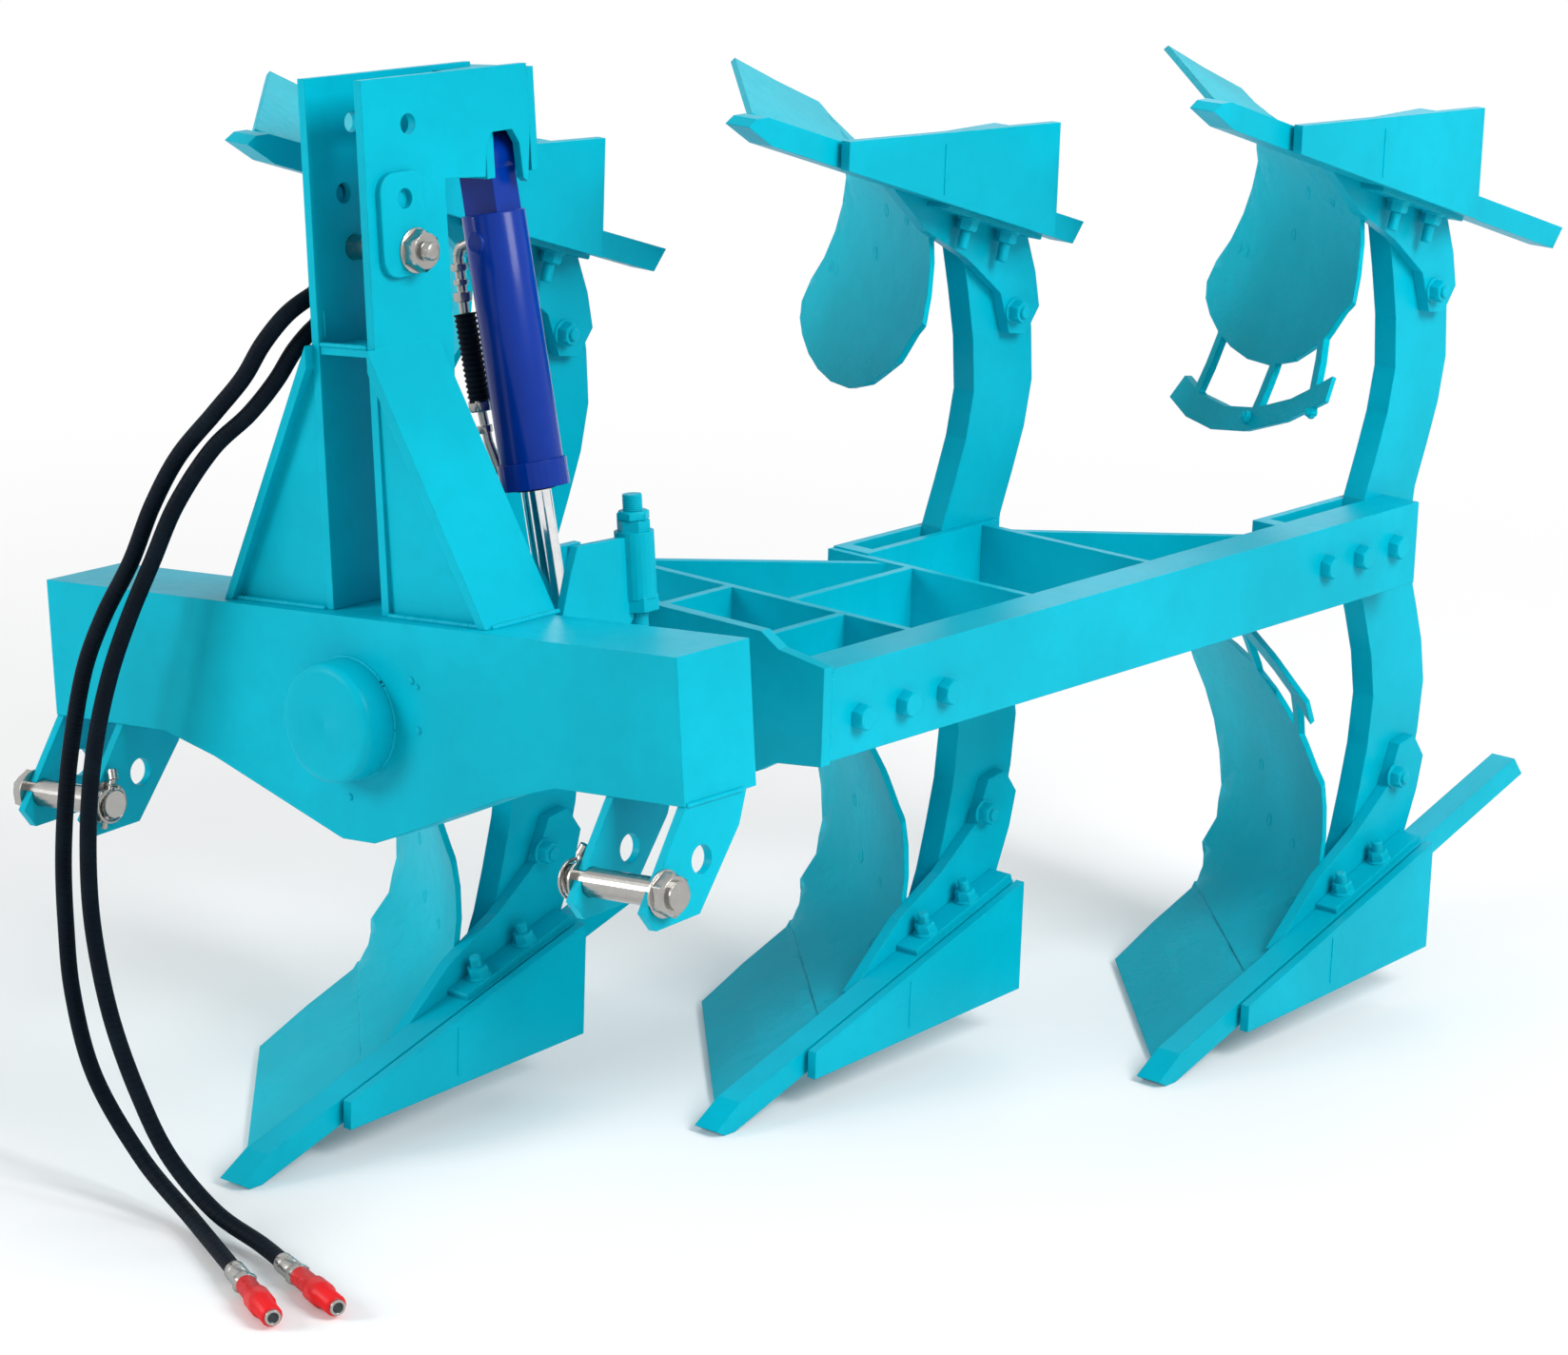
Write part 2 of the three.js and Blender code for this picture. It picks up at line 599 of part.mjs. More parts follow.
// outline in (y, h) of a point bar of the given length, grown by a clearance
function barOutline(length, grow) {
  const c = Math.cos(BAR_SLOPE);
  const s = Math.sin(BAR_SLOPE);
  const from = (a, b) => [a * c - b * s, a * s + b * c];
  const high = BAR_HEIGHT + grow;
  const far = length + grow;
  if (grow > 0) return [from(-20, -grow), from(far, -grow), from(far, high), from(-20, high)];
  return [[0, NOSE_LOW + 9], [16, NOSE_LOW], [NOSE_LOW / Math.tan(BAR_SLOPE), NOSE_LOW], from(far, 0),
    from(far - 14, high), from(62, high)];
}

function barShape(length) {
  return solid(prismX(barOutline(length, 0), BAR_IN, BAR_IN + BAR_WIDTH));
}

function placeBody(geometry, i, up) {
  const g = geometry.clone();
  g.translate(TIP.x + i * PITCH.x, TIP.y + i * PITCH.y, -TIP.z);
  if (up) {
    g.scale(1, 1, -1);
    const ix = g.index.array;
    for (let k = 0; k < ix.length; k += 3) {
      [ix[k], ix[k + 1]] = [ix[k + 1], ix[k]];
    }
  }
  return g;
}

function bodies() {
  const share = geometryOf(shareShape());
  const boards = [false, false, true].map((band) => geometryOf(boardShape(band)));
  const land = geometryOf(landsideShape());
  [0, 1, 2].forEach((i) => {
    shank(i);
    [['lower', false], ['upper', true]].forEach(([side, up]) => {
      const bar = geometryOf(barShape(BAR_LENGTH[side][i]));
      piece(group, `share_${side}_${i + 1}`, placeBody(share, i, up), 'board');
      piece(group, `mouldboard_${side}_${i + 1}`, placeBody(boards[i], i, up), 'board');
      piece(group, `landside_${side}_${i + 1}`, placeBody(land, i, up), 'paint');
      piece(group, `point_bar_${side}_${i + 1}`, placeBody(bar, i, up), 'paint');
    });
  });
}

// ---- hoses ----
const HOSE_R = 11;
const VALVE_Y = 100;
const HOSE_A = [
  [-134, 60, 502], [-142, 25, 482], [-158, 0, 446], [-178, -14, 402], [-212, -30, 354],
  [-262, -45, 291], [-292, -60, 226], [-314, -76, 152], [-344, -94, 80], [-372, -100, 10], [-392, -104, -86],
  [-404, -104, -165], [-410, -104, -256], [-406, -104, -340], [-394, -104, -430], [-358, -100, -535],
  [-277, -92, -630], [-161, -116, -672], [-50, -170, -674.6], [48, -220, -674.6],
];
const HOSE_B = [
  [-130, 62, 463], [-136, 34, 438], [-150, 14, 398], [-178, -4, 354], [-213, -30, 310],
  [-249, -60, 235], [-276, -75, 160], [-303, -90, 83], [-327, -100, 6], [-348, -105, -85], [-356, -110, -186],
  [-353, -110, -300], [-335, -110, -385], [-309, -110, -456], [-264, -112, -530], [-205, -114, -600],
  [-120, -112, -655], [-30, -116, -674], [75, -154, -674.6],
];

function circle(r, sides) {
  const pts = [];
  for (let i = 0; i < sides; i += 1) {
    const a = (2 * Math.PI * i) / sides;
    pts.push([r * Math.cos(a), r * Math.sin(a)]);
  }
  return outline(pts);
}

function valveBlock() {
  const face = -MAST_GAP / 2 - PLATE - GAP;
  piece(headstock, 'valve_block', box(face - 50, face, VALVE_Y, 160, 462, 540), 'steel');
}

function hose(name, portZ, route) {
  const port = new THREE.Vector3(-MAST_GAP / 2 - PLATE - 25, VALVE_Y - GAP, portZ);
  port.applyEuler(headstock.rotation);
  const straight = port.clone().add(new THREE.Vector3(0, -14, 0));
  const curve = new THREE.CatmullRomCurve3([port, straight, ...route.map((p) => new THREE.Vector3(...p))]);
  const g = new THREE.ExtrudeGeometry(circle(HOSE_R, 8), {
    extrudePath: curve, steps: 36, bevelEnabled: false,
  });
  piece(group, name, g, 'rubber');
  return curve;
}

function coupler(name, curve) {
  const end = curve.getPointAt(1);
  const dir = curve.getTangentAt(1);
  dir.z = 0;
  dir.normalize();
  const g = new THREE.LatheGeometry([[0, 0], [13.5, 0], [13.5, 42], [17, 42], [17, 70], [14, 74], [14, 104],
    [9, 108], [0, 108]].map(([r, z]) => new THREE.Vector2(r, z)), 16);
  g.applyQuaternion(new THREE.Quaternion().setFromUnitVectors(new THREE.Vector3(0, 1, 0), dir));
  g.translate(end.x + GAP * dir.x, end.y + GAP * dir.y, end.z);
  piece(group, name, g, 'red');
}

crossBeam();
bearingCap();
mastSide('mast_side_left', 1);
mastSide('mast_side_right', -1);
mastWeb();
eyeBracket();
pins();
lowerHitch();
turnStop('turn_stop_left', STOP_X);
turnStop('turn_stop_right', -STOP_X);
cylinder();
turnoverShaft();
frontPlate();
mainRail();
holders();
ladder();
bodies();
valveBlock();
coupler('coupler_1', hose('hose_1', 520, HOSE_A));
coupler('coupler_2', hose('hose_2', 482, HOSE_B));

// set the whole down with the middle of its base at the origin
group.updateMatrixWorld(true);
const whole = new THREE.Box3();
group.traverse((o) => {
  if (o.isMesh && !/^(hose|coupler)/.test(o.name)) whole.expandByObject(o, true);
});
const middle = whole.getCenter(new THREE.Vector3());
group.position.set(-middle.x, -middle.y, -whole.min.z);

export default group;
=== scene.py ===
import json
import math
import random

import bmesh
import bpy
from mathutils import Matrix, Vector
from mathutils.bvhtree import BVHTree


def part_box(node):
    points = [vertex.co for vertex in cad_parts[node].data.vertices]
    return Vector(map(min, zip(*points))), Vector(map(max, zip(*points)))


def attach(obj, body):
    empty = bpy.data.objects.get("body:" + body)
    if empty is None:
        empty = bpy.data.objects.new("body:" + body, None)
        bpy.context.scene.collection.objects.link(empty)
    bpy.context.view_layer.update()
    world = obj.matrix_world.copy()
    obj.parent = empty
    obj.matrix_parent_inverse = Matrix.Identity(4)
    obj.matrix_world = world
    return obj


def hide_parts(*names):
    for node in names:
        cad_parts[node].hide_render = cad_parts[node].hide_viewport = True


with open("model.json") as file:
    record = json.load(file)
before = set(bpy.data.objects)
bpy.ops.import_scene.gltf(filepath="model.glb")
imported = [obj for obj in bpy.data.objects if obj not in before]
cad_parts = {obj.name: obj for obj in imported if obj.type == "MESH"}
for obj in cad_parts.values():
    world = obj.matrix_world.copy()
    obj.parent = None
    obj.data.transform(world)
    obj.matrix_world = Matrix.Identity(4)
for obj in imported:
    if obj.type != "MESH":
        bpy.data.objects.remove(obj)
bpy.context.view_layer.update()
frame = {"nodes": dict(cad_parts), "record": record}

bl_info = {
    "name": "Reversible Mouldboard Plough",
    "version": (1, 0, 0),
    "blender": (4, 5, 0),
    "location": "3D Viewport > Sidebar > Plough",
    "description": "Dresses the packed plough with paint, bolts, welds and hoses",
    "category": "Object",
}

JOINTS = {j["name"]: j for j in frame["record"]["behaviour"]["joints"]}
SHAFT = Vector(JOINTS["turnover"]["pos_m"])                         # the turnover shaft's front end
LEAN = math.radians(6.0)        # of the headstock, off the upright
HEADSTOCK, BARREL, ROD, PLOUGH = "headstock", "cylinder_barrel", "cylinder_rod", "plough_frame"
TOP_PIN = (100, 570)            # the top link pin and the lower hitch pins, along and up the headstock, in mm
LINK_PIN = (-44, -146)
BODIES = (1, 2, 3)              # the plough bodies, from the front


# ---------------------------------------------------------------- places
def at_shaft(x, y, z):
    """A point given in millimetres from the turnover shaft's front end."""
    return SHAFT + Vector((x, y, z)) / 1000


LEANING = Matrix.Translation(SHAFT) @ Matrix.Rotation(-LEAN, 4, "Y")


def on_head(x, y, z):
    """A point on the leaning headstock, in millimetres from the shaft's front end."""
    return LEANING @ (Vector((x, y, z)) / 1000)


def head_way(x, y, z):
    """A direction on the leaning headstock."""
    return LEANING.to_3x3() @ Vector((x, y, z))


def facing(point, way):
    """A frame at point whose Z runs along way."""
    return Matrix.Translation(point) @ Vector(way).to_track_quat("Z", "Y").to_matrix().to_4x4()


# ---------------------------------------------------------------- meshes
class Batch:
    """Small parts of one kind, gathered into one mesh."""

    def __init__(self):
        self.mesh = bmesh.new()

    def walls(self, rows):
        """Faces between each row of corners and the next, all the way round."""
        count = len(rows[0])
        for low, high in zip(rows, rows[1:]):
            for i in range(count):
                j = (i + 1) % count
                self.mesh.faces.new((low[i], low[j], high[j], high[i]))

    def closed(self, rows):
        """Walls between the rows and a face over each end."""
        self.walls(rows)
        self.mesh.faces.new(tuple(reversed(rows[0])))
        self.mesh.faces.new(tuple(rows[-1]))

    def ring(self, middle, side, up, out, sides):
        """A round row of corners, out metres from the middle."""
        turns = [2 * math.pi * i / sides for i in range(sides)]
        return [self.mesh.verts.new(middle + out * (side * math.cos(a) + up * math.sin(a))) for a in turns]

    def turned(self, place, rings, sides=24, flats=0, hollow=False):
        """A solid turned about place's Z from rings of (radius, height[, flat]), in millimetres.

        A flat ring is a polygon of that many flats, and its radius is half the width across them.
        A hollow one joins its last ring to its first and leaves the middle open.
        """
        rows = []
        for ring in rings:
            radius, height = ring[0], ring[1]
            flat = flats and len(ring) > 2
            row = []
            for i in range(sides):
                turn = 2 * math.pi * i / sides
                out = radius
                if flat:
                    part = 2 * math.pi / flats
                    out = radius / math.cos((turn + part / 2) % part - part / 2)
                spot = Vector((out * math.cos(turn), out * math.sin(turn), height)) / 1000
                row.append(self.mesh.verts.new(place @ spot))
            rows.append(row)
        if hollow:
            self.walls(rows + rows[:1])
        else:
            self.closed(rows)

    def hexagon(self, place, across, height, seat=0):
        """A hexagon head or nut with its corners turned off, seat millimetres up from place."""
        half = across / 2
        rings = [(half, 0, 1), (half, height * 0.8, 1), (half * 0.96, height), (half * 0.5, height)]
        self.turned(place @ Matrix.Translation((0, 0, seat / 1000)), rings, 24, 6)

    def washer(self, place, radius, flat, top):
        """A washer that is straight up to one height and turned off to the next."""
        self.turned(place, [(radius, 0), (radius, flat), (radius - 1, top)], 32)

    def bolt(self, point, way, across=24, washer=True, stub=0):
        """A hexagon head on its washer, with a stub of thread standing out of it for a nut."""
        place = facing(point, way)
        tall = across * 0.55
        base = 0
        if washer:
            self.turned(place, [(across * 0.66, 0), (across * 0.66, 2.2), (across * 0.62, 2.8)])
            base = 2.6
        self.hexagon(place, across, tall, base)
        if stub:
            self.thread(place, across * 0.3, base + tall - 1, base + tall + stub, 2.0)

    def thread(self, place, radius, low, high, pitch=2.5):
        """A threaded length of rod."""
        rings = []
        height = low
        while height < high - pitch:
            rings += [(radius * 0.93, height), (radius * 1.04, height + pitch / 2)]
            height += pitch
        rings += [(radius * 0.93, high - 0.8), (radius * 0.8, high)]
        self.turned(place, rings, 16)

    def bead(self, points, radius=4.0, seed=1):
        """A weld bead: overlapping ripples along a line of points in metres."""
        dice = random.Random(seed)
        line = spread(points, radius * 0.55 / 1000)
        rows = []
        for n, point in enumerate(line):
            ahead = heading(line, n)
            side = ahead.orthogonal().normalized()
            swell = radius * (0.86 + 0.2 * (n % 3 == 0) + dice.uniform(-0.07, 0.07)) / 1000
            if n in (0, len(line) - 1):
                swell *= 0.4
            rows.append(self.ring(point, side, ahead.cross(side), swell, 8))
        self.closed(rows)

    def pipe(self, points, radius, sides=12, rib=0, pitch=8):
        """A round bar, pipe or ribbed sleeve bent along points in metres."""
        step = pitch / 4 / 1000 if rib else 0.004
        line = spread(points, step)
        side = (line[1] - line[0]).orthogonal().normalized()
        rows = []
        for n, point in enumerate(line):
            ahead = heading(line, n)
            side = (side - ahead * side.dot(ahead)).normalized()
            out = (radius - (rib if rib and n % 4 > 1 else 0)) / 1000
            rows.append(self.ring(point, side, ahead.cross(side), out, sides))
        self.closed(rows)

    def plate(self, corners, way, thick, worn=2.0):
        """A flat plate from corners in metres, thick millimetres along way, its outer edge worn in."""
        way = Vector(way).normalized() * thick / 1000
        centre = sum(corners, Vector()) / len(corners)
        inner = [c + (centre - c).normalized() * worn / 1000 for c in corners]
        self.closed([[self.mesh.verts.new(p) for p in corners],
                     [self.mesh.verts.new(p + way * 0.85) for p in corners],
                     [self.mesh.verts.new(p + way) for p in inner]])

    def made(self, name, body, look):
        """The finished object, riding on its body."""
        bmesh.ops.recalc_face_normals(self.mesh, faces=self.mesh.faces)
        return stood(self.mesh, name, body, look, 34)


def stood(mesh, name, body, look, sharp):
    """The mesh as an object that rides on its body, smooth but for edges of more than sharp degrees."""
    data = bpy.data.meshes.new(name)
    mesh.to_mesh(data)
    mesh.free()
    data.materials.append(look)
    data.shade_smooth()
    data.set_sharp_from_angle(angle=math.radians(sharp))
    piece = bpy.data.objects.new(name, data)
    bpy.context.scene.collection.objects.link(piece)
    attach(piece, body)
    return piece


def spread(points, step):
    """Points at even steps along a line of straight stretches."""
    line = [Vector(points[0])]
    for a, b in zip(points, points[1:]):
        a, b = Vector(a), Vector(b)
        count = max(1, round((b - a).length / step))
        line += [a.lerp(b, (i + 1) / count) for i in range(count)]
    return line


def heading(line, n):
    """Which way a line of points runs at its nth."""
    return (line[min(n + 1, len(line) - 1)] - line[max(n - 1, 0)]).normalized()


def curved(points, pieces=12):
    """A smooth centripetal curve through points."""
    ends = [points[0] * 2 - points[1]] + list(points) + [points[-1] * 2 - points[-2]]
    line = []
    for i in range(len(points) - 1):
        p = ends[i:i + 4]
        gap = [max((p[k + 1] - p[k]).length, 1e-6) ** 0.5 for k in range(3)]
        m1 = ((p[1] - p[0]) / gap[0] - (p[2] - p[0]) / (gap[0] + gap[1]) + (p[2] - p[1]) / gap[1]) * gap[1]
        m2 = ((p[2] - p[1]) / gap[1] - (p[3] - p[1]) / (gap[1] + gap[2]) + (p[3] - p[2]) / gap[2]) * gap[1]
        for n in range(pieces):
            t = n / pieces
            line.append((2 * t ** 3 - 3 * t ** 2 + 1) * p[1] + (t ** 3 - 2 * t ** 2 + t) * m1
                        + (3 * t ** 2 - 2 * t ** 3) * p[2] + (t ** 3 - t ** 2) * m2)
    return line + [points[-1]]


def smooth_copy(name):
    """A copy of a frame piece whose curved faces are shaded smooth, standing for it."""
    mesh = bmesh.new()
    mesh.from_mesh(frame["nodes"][name].data)
    bmesh.ops.remove_doubles(mesh, verts=mesh.verts, dist=1e-5)
    bmesh.ops.dissolve_degenerate(mesh, edges=mesh.edges, dist=1e-6)
    piece = stood(mesh, "smooth_" + name, body_of(name), finish(slot_of(name)), 31)
    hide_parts(name)
    return piece


# ---------------------------------------------------------------- finishes
class Value:
    """A shader socket that Python's operators can work on."""

    def __init__(self, finish, socket):
        self.finish = finish
        self.socket = socket

    def work(self, kind, first, second=0.0):
        """What one kind of maths makes of two values or numbers."""
        made = self.finish.node("ShaderNodeMath", {"operation": kind}, {0: first, 1: second})
        return made.out(0)

    def __add__(self, other): return self.work("ADD", self, other)
    def __radd__(self, other): return self.work("ADD", other, self)
    def __sub__(self, other): return self.work("SUBTRACT", self, other)
    def __rsub__(self, other): return self.work("SUBTRACT", other, self)
    def __mul__(self, other): return self.work("MULTIPLY", self, other)
    def __rmul__(self, other): return self.work("MULTIPLY", other, self)
    def least(self, other): return self.work("MINIMUM", self, other)
    def sine(self): return self.work("SINE", self)

    def between(self, low, high):
        """0 below low, 1 above high, smooth between them."""
        settings = {"interpolation_type": "SMOOTHSTEP"}
        return self.finish.node("ShaderNodeMapRange", settings,
                                {"Value": self, "From Min": low, "From Max": high}).out("Result")


class Made:
    """A node, whose outputs come as values."""

    def __init__(self, finish, node):
        self.finish = finish
        self.node = node

    def out(self, name):
        """The output of that name or number."""
        return Value(self.finish, self.node.outputs[name])


class Finish:
    """One procedural material."""

    def __init__(self, name):
        self.material = bpy.data.materials.new(name)
        self.material.use_nodes = True
        self.tree = self.material.node_tree
        self.tree.nodes.clear()
        self.shader = self.node("ShaderNodeBsdfPrincipled")
        self.end = self.node("ShaderNodeOutputMaterial", {}, {"Surface": self.shader.out("BSDF")})
        self.place = self.node("ShaderNodeTexCoord").out("Object")

    @classmethod
    def within(cls, tree):
        """An empty tree of its own, for the sky."""
        made = cls.__new__(cls)
        made.tree = tree
        tree.nodes.clear()
        return made

    def node(self, kind, settings=None, values=None):
        """A node of that type, with its settings made first and then its sockets' values or links."""
        node = self.tree.nodes.new(kind)
        for name, value in (settings or {}).items():
            setattr(node, name, value)
        for name, value in (values or {}).items():
            self.put(node.inputs[name], value)
        return Made(self, node)

    def put(self, socket, value):
        """Links a value into a socket, or sets the socket to a number or colour."""
        if isinstance(value, Value):
            self.tree.links.new(value.socket, socket)
        else:
            socket.default_value = value

    def set(self, **values):
        """Sets or links the shader's own sockets; an underscore stands for a space."""
        for name, value in values.items():
            self.put(self.shader.node.inputs[name.replace("_", " ")], value)

    def noise(self, scale, detail=3.0, rough=0.55):
        """A cloudy value round one half, with scale clouds to the metre."""
        sockets = {"Vector": self.place, "Scale": scale, "Detail": detail, "Roughness": rough}
        return self.node("ShaderNodeTexNoise", {}, sockets).out("Fac")

    def blend(self, factor, first, second):
        """One colour turning into another with the factor."""
        made = self.node("ShaderNodeMix", {"data_type": "RGBA"}, {0: factor, 6: first, 7: second})
        return made.out(2)

    def facing_up(self):
        """How far the surface faces up at rest, from -1 to 1."""
        normal = self.node("ShaderNodeTexCoord").out("Normal")
        return self.node("ShaderNodeSeparateXYZ", {}, {0: normal}).out(2)

    def edges(self, radius):
        """The normal rounded over the edges, and 1 on an edge fading to 0 off it."""
        rounded = self.node("ShaderNodeBevel", {"samples": 4}, {"Radius": radius}).out("Normal")
        true = self.node("ShaderNodeNewGeometry").out("True Normal")
        same = self.node("ShaderNodeVectorMath", {"operation": "DOT_PRODUCT"}, {0: rounded, 1: true})
        return rounded, 1 - same.out("Value")

    def studio(self):
        """1 for the rays that see the white studio: straight, off something glossy or through glass."""
        rays = self.node("ShaderNodeLightPath")
        straight, glossy = rays.out("Is Camera Ray"), rays.out("Is Glossy Ray")
        return (straight + glossy + rays.out("Is Transmission Ray")).least(1.0)

    def bump(self, height, strength, distance=0.001, normal=None):
        """Raises the surface by the height, over the normal given or the mesh's own."""
        values = {"Height": height, "Strength": strength, "Distance": distance}
        if normal is not None:
            values["Normal"] = normal
        self.set(Normal=self.node("ShaderNodeBump", {}, values).out("Normal"))


def shade(colour, by):
    """The colour made lighter or darker."""
    return tuple(min(1.0, c * by) for c in colour[:3]) + (1.0,)


def paint(name, colour, gloss=0.3, dust=0.06, chips=0.45, coat=0.01, pits=0.0, shine=0.055):
    """Sprayed gloss paint: orange peel, slow shade changes, dust on top, worn edges and a painted highlight
    along every edge.

    gloss is its roughness and shine its reflection; pits roughens it as on rusted and repainted steel.
    """
    f = Finish(name)
    cloud = f.noise(3.5, 4.0)
    mottle = f.noise(42.0, 5.0, 0.6)
    speck = f.noise(310.0, 2.0)
    rounded, edge = f.edges(0.0022)
    base = f.blend(cloud.between(0.3, 0.72), shade(colour, 0.9), shade(colour, 1.08))
    base = f.blend(mottle.between(0.4, 0.8) * 0.18, base, shade(colour, 0.72))
    up = f.facing_up().between(0.35, 0.95)
    settled = up * mottle.between(0.3, 0.7) * dust
    base = f.blend(settled, base, shade(colour, 1.25))
    # painted highlight: the colour is made lighter along every edge, as if each edge caught the light
    base = f.blend(edge.between(0.015, 0.12) * 0.4, base, shade(colour, 1.7))
    worn = (edge.between(0.05, 0.22) * mottle.between(0.47, 0.6) * chips).least(1.0)
    chipped = (worn + speck.between(0.78, 0.82) * mottle.between(0.56, 0.66) * chips).least(1.0)
    base = f.blend(chipped * 0.6, base, shade(colour, 0.45))
    f.set(Base_Color=base, Roughness=gloss + 0.1 * mottle + 0.3 * settled + 0.2 * chipped, Coat_Weight=coat)
    f.set(Coat_Roughness=0.12, Specular_IOR_Level=shine)
    height = f.noise(230.0, 2.0, 0.5) * 0.5 + cloud * 0.8 + mottle * 0.5 - chipped * 0.8
    if pits:
        rough = f.noise(85.0, 6.0, 0.7)
        patch = f.noise(7.0, 3.0).between(0.42, 0.6)
        height = height - rough.between(0.5, 0.66) * patch * pits
    f.bump(height, 0.14 + 0.1 * pits, 0.0012, rounded)
    return f.material


def ground_steel(name, colour, rough=0.32, rust=0.2):
    """Bare turned or rolled steel with fine scratches and a little rust."""
    f = Finish(name)
    streak = f.noise(55.0, 6.0, 0.7)
    fine = f.noise(700.0, 2.0)
    rounded, _ = f.edges(0.0015)
    rusty = streak.between(0.56, 0.74) * rust
    bare = f.blend(streak, shade(colour, 0.8), shade(colour, 1.1))
    f.set(Base_Color=f.blend(rusty, bare, (0.25, 0.11, 0.05, 1.0)))
    f.set(Metallic=1 - rusty * 0.8, Roughness=rough + 0.25 * streak * rust + rusty * 0.35)
    f.bump(fine * 0.4 + streak, 0.08, 0.0008, rounded)
    return f.material


def rubber(name, wrapped=0):
    """Black hose cover; a wrapped one has a flat spiral guard wound that many times round it."""
    f = Finish(name)
    dusty = f.noise(26.0, 5.0)
    grain = f.noise(900.0, 2.0)
    clean, faded = (0.001, 0.004, 0.009, 1.0), (0.004, 0.011, 0.018, 1.0)
    f.set(Base_Color=f.blend(dusty.between(0.4, 0.75) * 0.5, clean, faded))
    f.set(Roughness=0.5 + 0.2 * dusty, Specular_IOR_Level=0.07)
    height = grain * 0.1
    if wrapped:
        along = f.node("ShaderNodeSeparateXYZ", {}, {0: f.node("ShaderNodeTexCoord").out("UV")})
        turn = (along.out(0) * wrapped + along.out(1)) * (2 * math.pi)
        height = height + turn.sine().between(-0.85, -0.45)
    f.bump(height, 0.7, 0.0016)
    return f.material


def painted_bore_shade(name):
    """Painted shade: a dark, faintly stained colour that stands for the unlit inside of a hole."""
    f = Finish(name)
    stain = f.noise(120.0, 3.0)
    f.set(Base_Color=f.blend(stain, (0.008, 0.012, 0.014, 1.0), (0.03, 0.04, 0.042, 1.0)))
    f.set(Roughness=0.6 + 0.2 * stain)
    return f.material


FINISHES = {}


def finish(name):
    """The named finish, made once from the colours in the panel."""
    if name not in FINISHES:
        looks = bpy.context.scene.plough_looks
        makers = {
            "paint": lambda: paint("turquoise_paint", looks.paint),
            "board_paint": lambda: paint("board_paint", looks.boards, gloss=0.34, dust=0.03, chips=0.7,
                                         coat=0.0, pits=2.0, shine=0.015),
            "blue_paint": lambda: paint("cylinder_paint", looks.cylinder, gloss=0.2, dust=0.0, chips=0.2,
                                        coat=0.12, shine=0.14),
            "red_paint": lambda: paint("coupler_red", looks.couplers, gloss=0.36, dust=0.0, chips=0.4,
                                       coat=0.05, shine=0.13),
            "chrome": lambda: ground_steel("chromed_rod", (0.83, 0.84, 0.85), rough=0.09, rust=0.02),
            "bare_steel": lambda: ground_steel("plated_steel", (0.40, 0.39, 0.37), rough=0.24),
            "hose": lambda: rubber("hose_guard", wrapped=185),
            "sleeve": lambda: rubber("sleeve_rubber"),
            # painted shade: the dark colour of the discs that stand for the shade inside each open hole and
            # coupler nose
            "dark": lambda: painted_bore_shade("painted_bore_shade"),
        }
        FINISHES[name] = makers[name]()
    return FINISHES[name]


# ---------------------------------------------------------------- settings
class PloughLooks(bpy.types.PropertyGroup):
    """The colours and small sizes of the plough."""

    paint: bpy.props.FloatVectorProperty(
        name="Frame paint", description="Gloss paint on the frame and headstock",
        default=(0.0, 0.41, 0.54), min=0, max=1, size=3, subtype="COLOR")
    boards: bpy.props.FloatVectorProperty(
        name="Board paint", description="Paint on the mouldboards, shares and landsides",
        default=(0.0, 0.44, 0.56), min=0, max=1, size=3, subtype="COLOR")
    cylinder: bpy.props.FloatVectorProperty(
        name="Cylinder paint", description="Paint on the turning cylinder and its eye",
        default=(0.0, 0.028, 0.27), min=0, max=1, size=3, subtype="COLOR")
    couplers: bpy.props.FloatVectorProperty(
        name="Coupler caps", description="Colour of the quick couplers' caps",
        default=(0.62, 0.012, 0.015), min=0, max=1, size=3, subtype="COLOR")
    hose: bpy.props.FloatProperty(
        name="Hose diameter", description="Outside of the guard wound on each hose",
        default=0.022, min=0.01, max=0.04, unit="LENGTH")
    rail_bolt: bpy.props.FloatProperty(
        name="Rail bolt", description="Width across the flats of the bolts through the frame, in millimetres",
        default=30.0, min=10, max=50)
    frog_bolt: bpy.props.FloatProperty(
        name="Frog bolt", description="Width across the flats of the bolts that hold a body, in millimetres",
        default=26.0, min=10, max=50)


class PloughStage(bpy.types.PropertyGroup):
    """The camera, the floor and the sky."""

    lens: bpy.props.FloatProperty(
        name="Lens", description="Focal length for a sensor 36 mm wide", default=118.06, min=20, max=400)
    distance: bpy.props.FloatProperty(
        name="Distance", description="From the camera to the point it looks at",
        default=6.1902, min=1, max=30, unit="LENGTH")
    turn: bpy.props.FloatProperty(
        name="Turn", description="The camera's direction from straight ahead",
        default=math.radians(39.6), subtype="ANGLE")
    dip: bpy.props.FloatProperty(
        name="Dip", description="How far the camera looks down", default=math.radians(15.5), subtype="ANGLE")
    roll: bpy.props.FloatProperty(
        name="Roll", description="The camera's tilt about its own line",
        default=math.radians(2.0), subtype="ANGLE")
    floor: bpy.props.FloatVectorProperty(
        name="Floor", description="Colour of the floor", default=(0.9, 0.9, 0.9), size=3, subtype="COLOR")
    sky: bpy.props.FloatProperty(
        name="Sky", description="How strongly the plain sky lights the plough", default=0.48, min=0, max=2)
    lift: bpy.props.FloatProperty(
        name="Lift", description="How far the floor near the plough is lifted to white",
        default=0.1, min=0, max=1)


# ---------------------------------------------------------------- stage
AIM = (498.3, 234.0, 108.6)     # the point that the camera looks at, from the shaft's front end, in mm


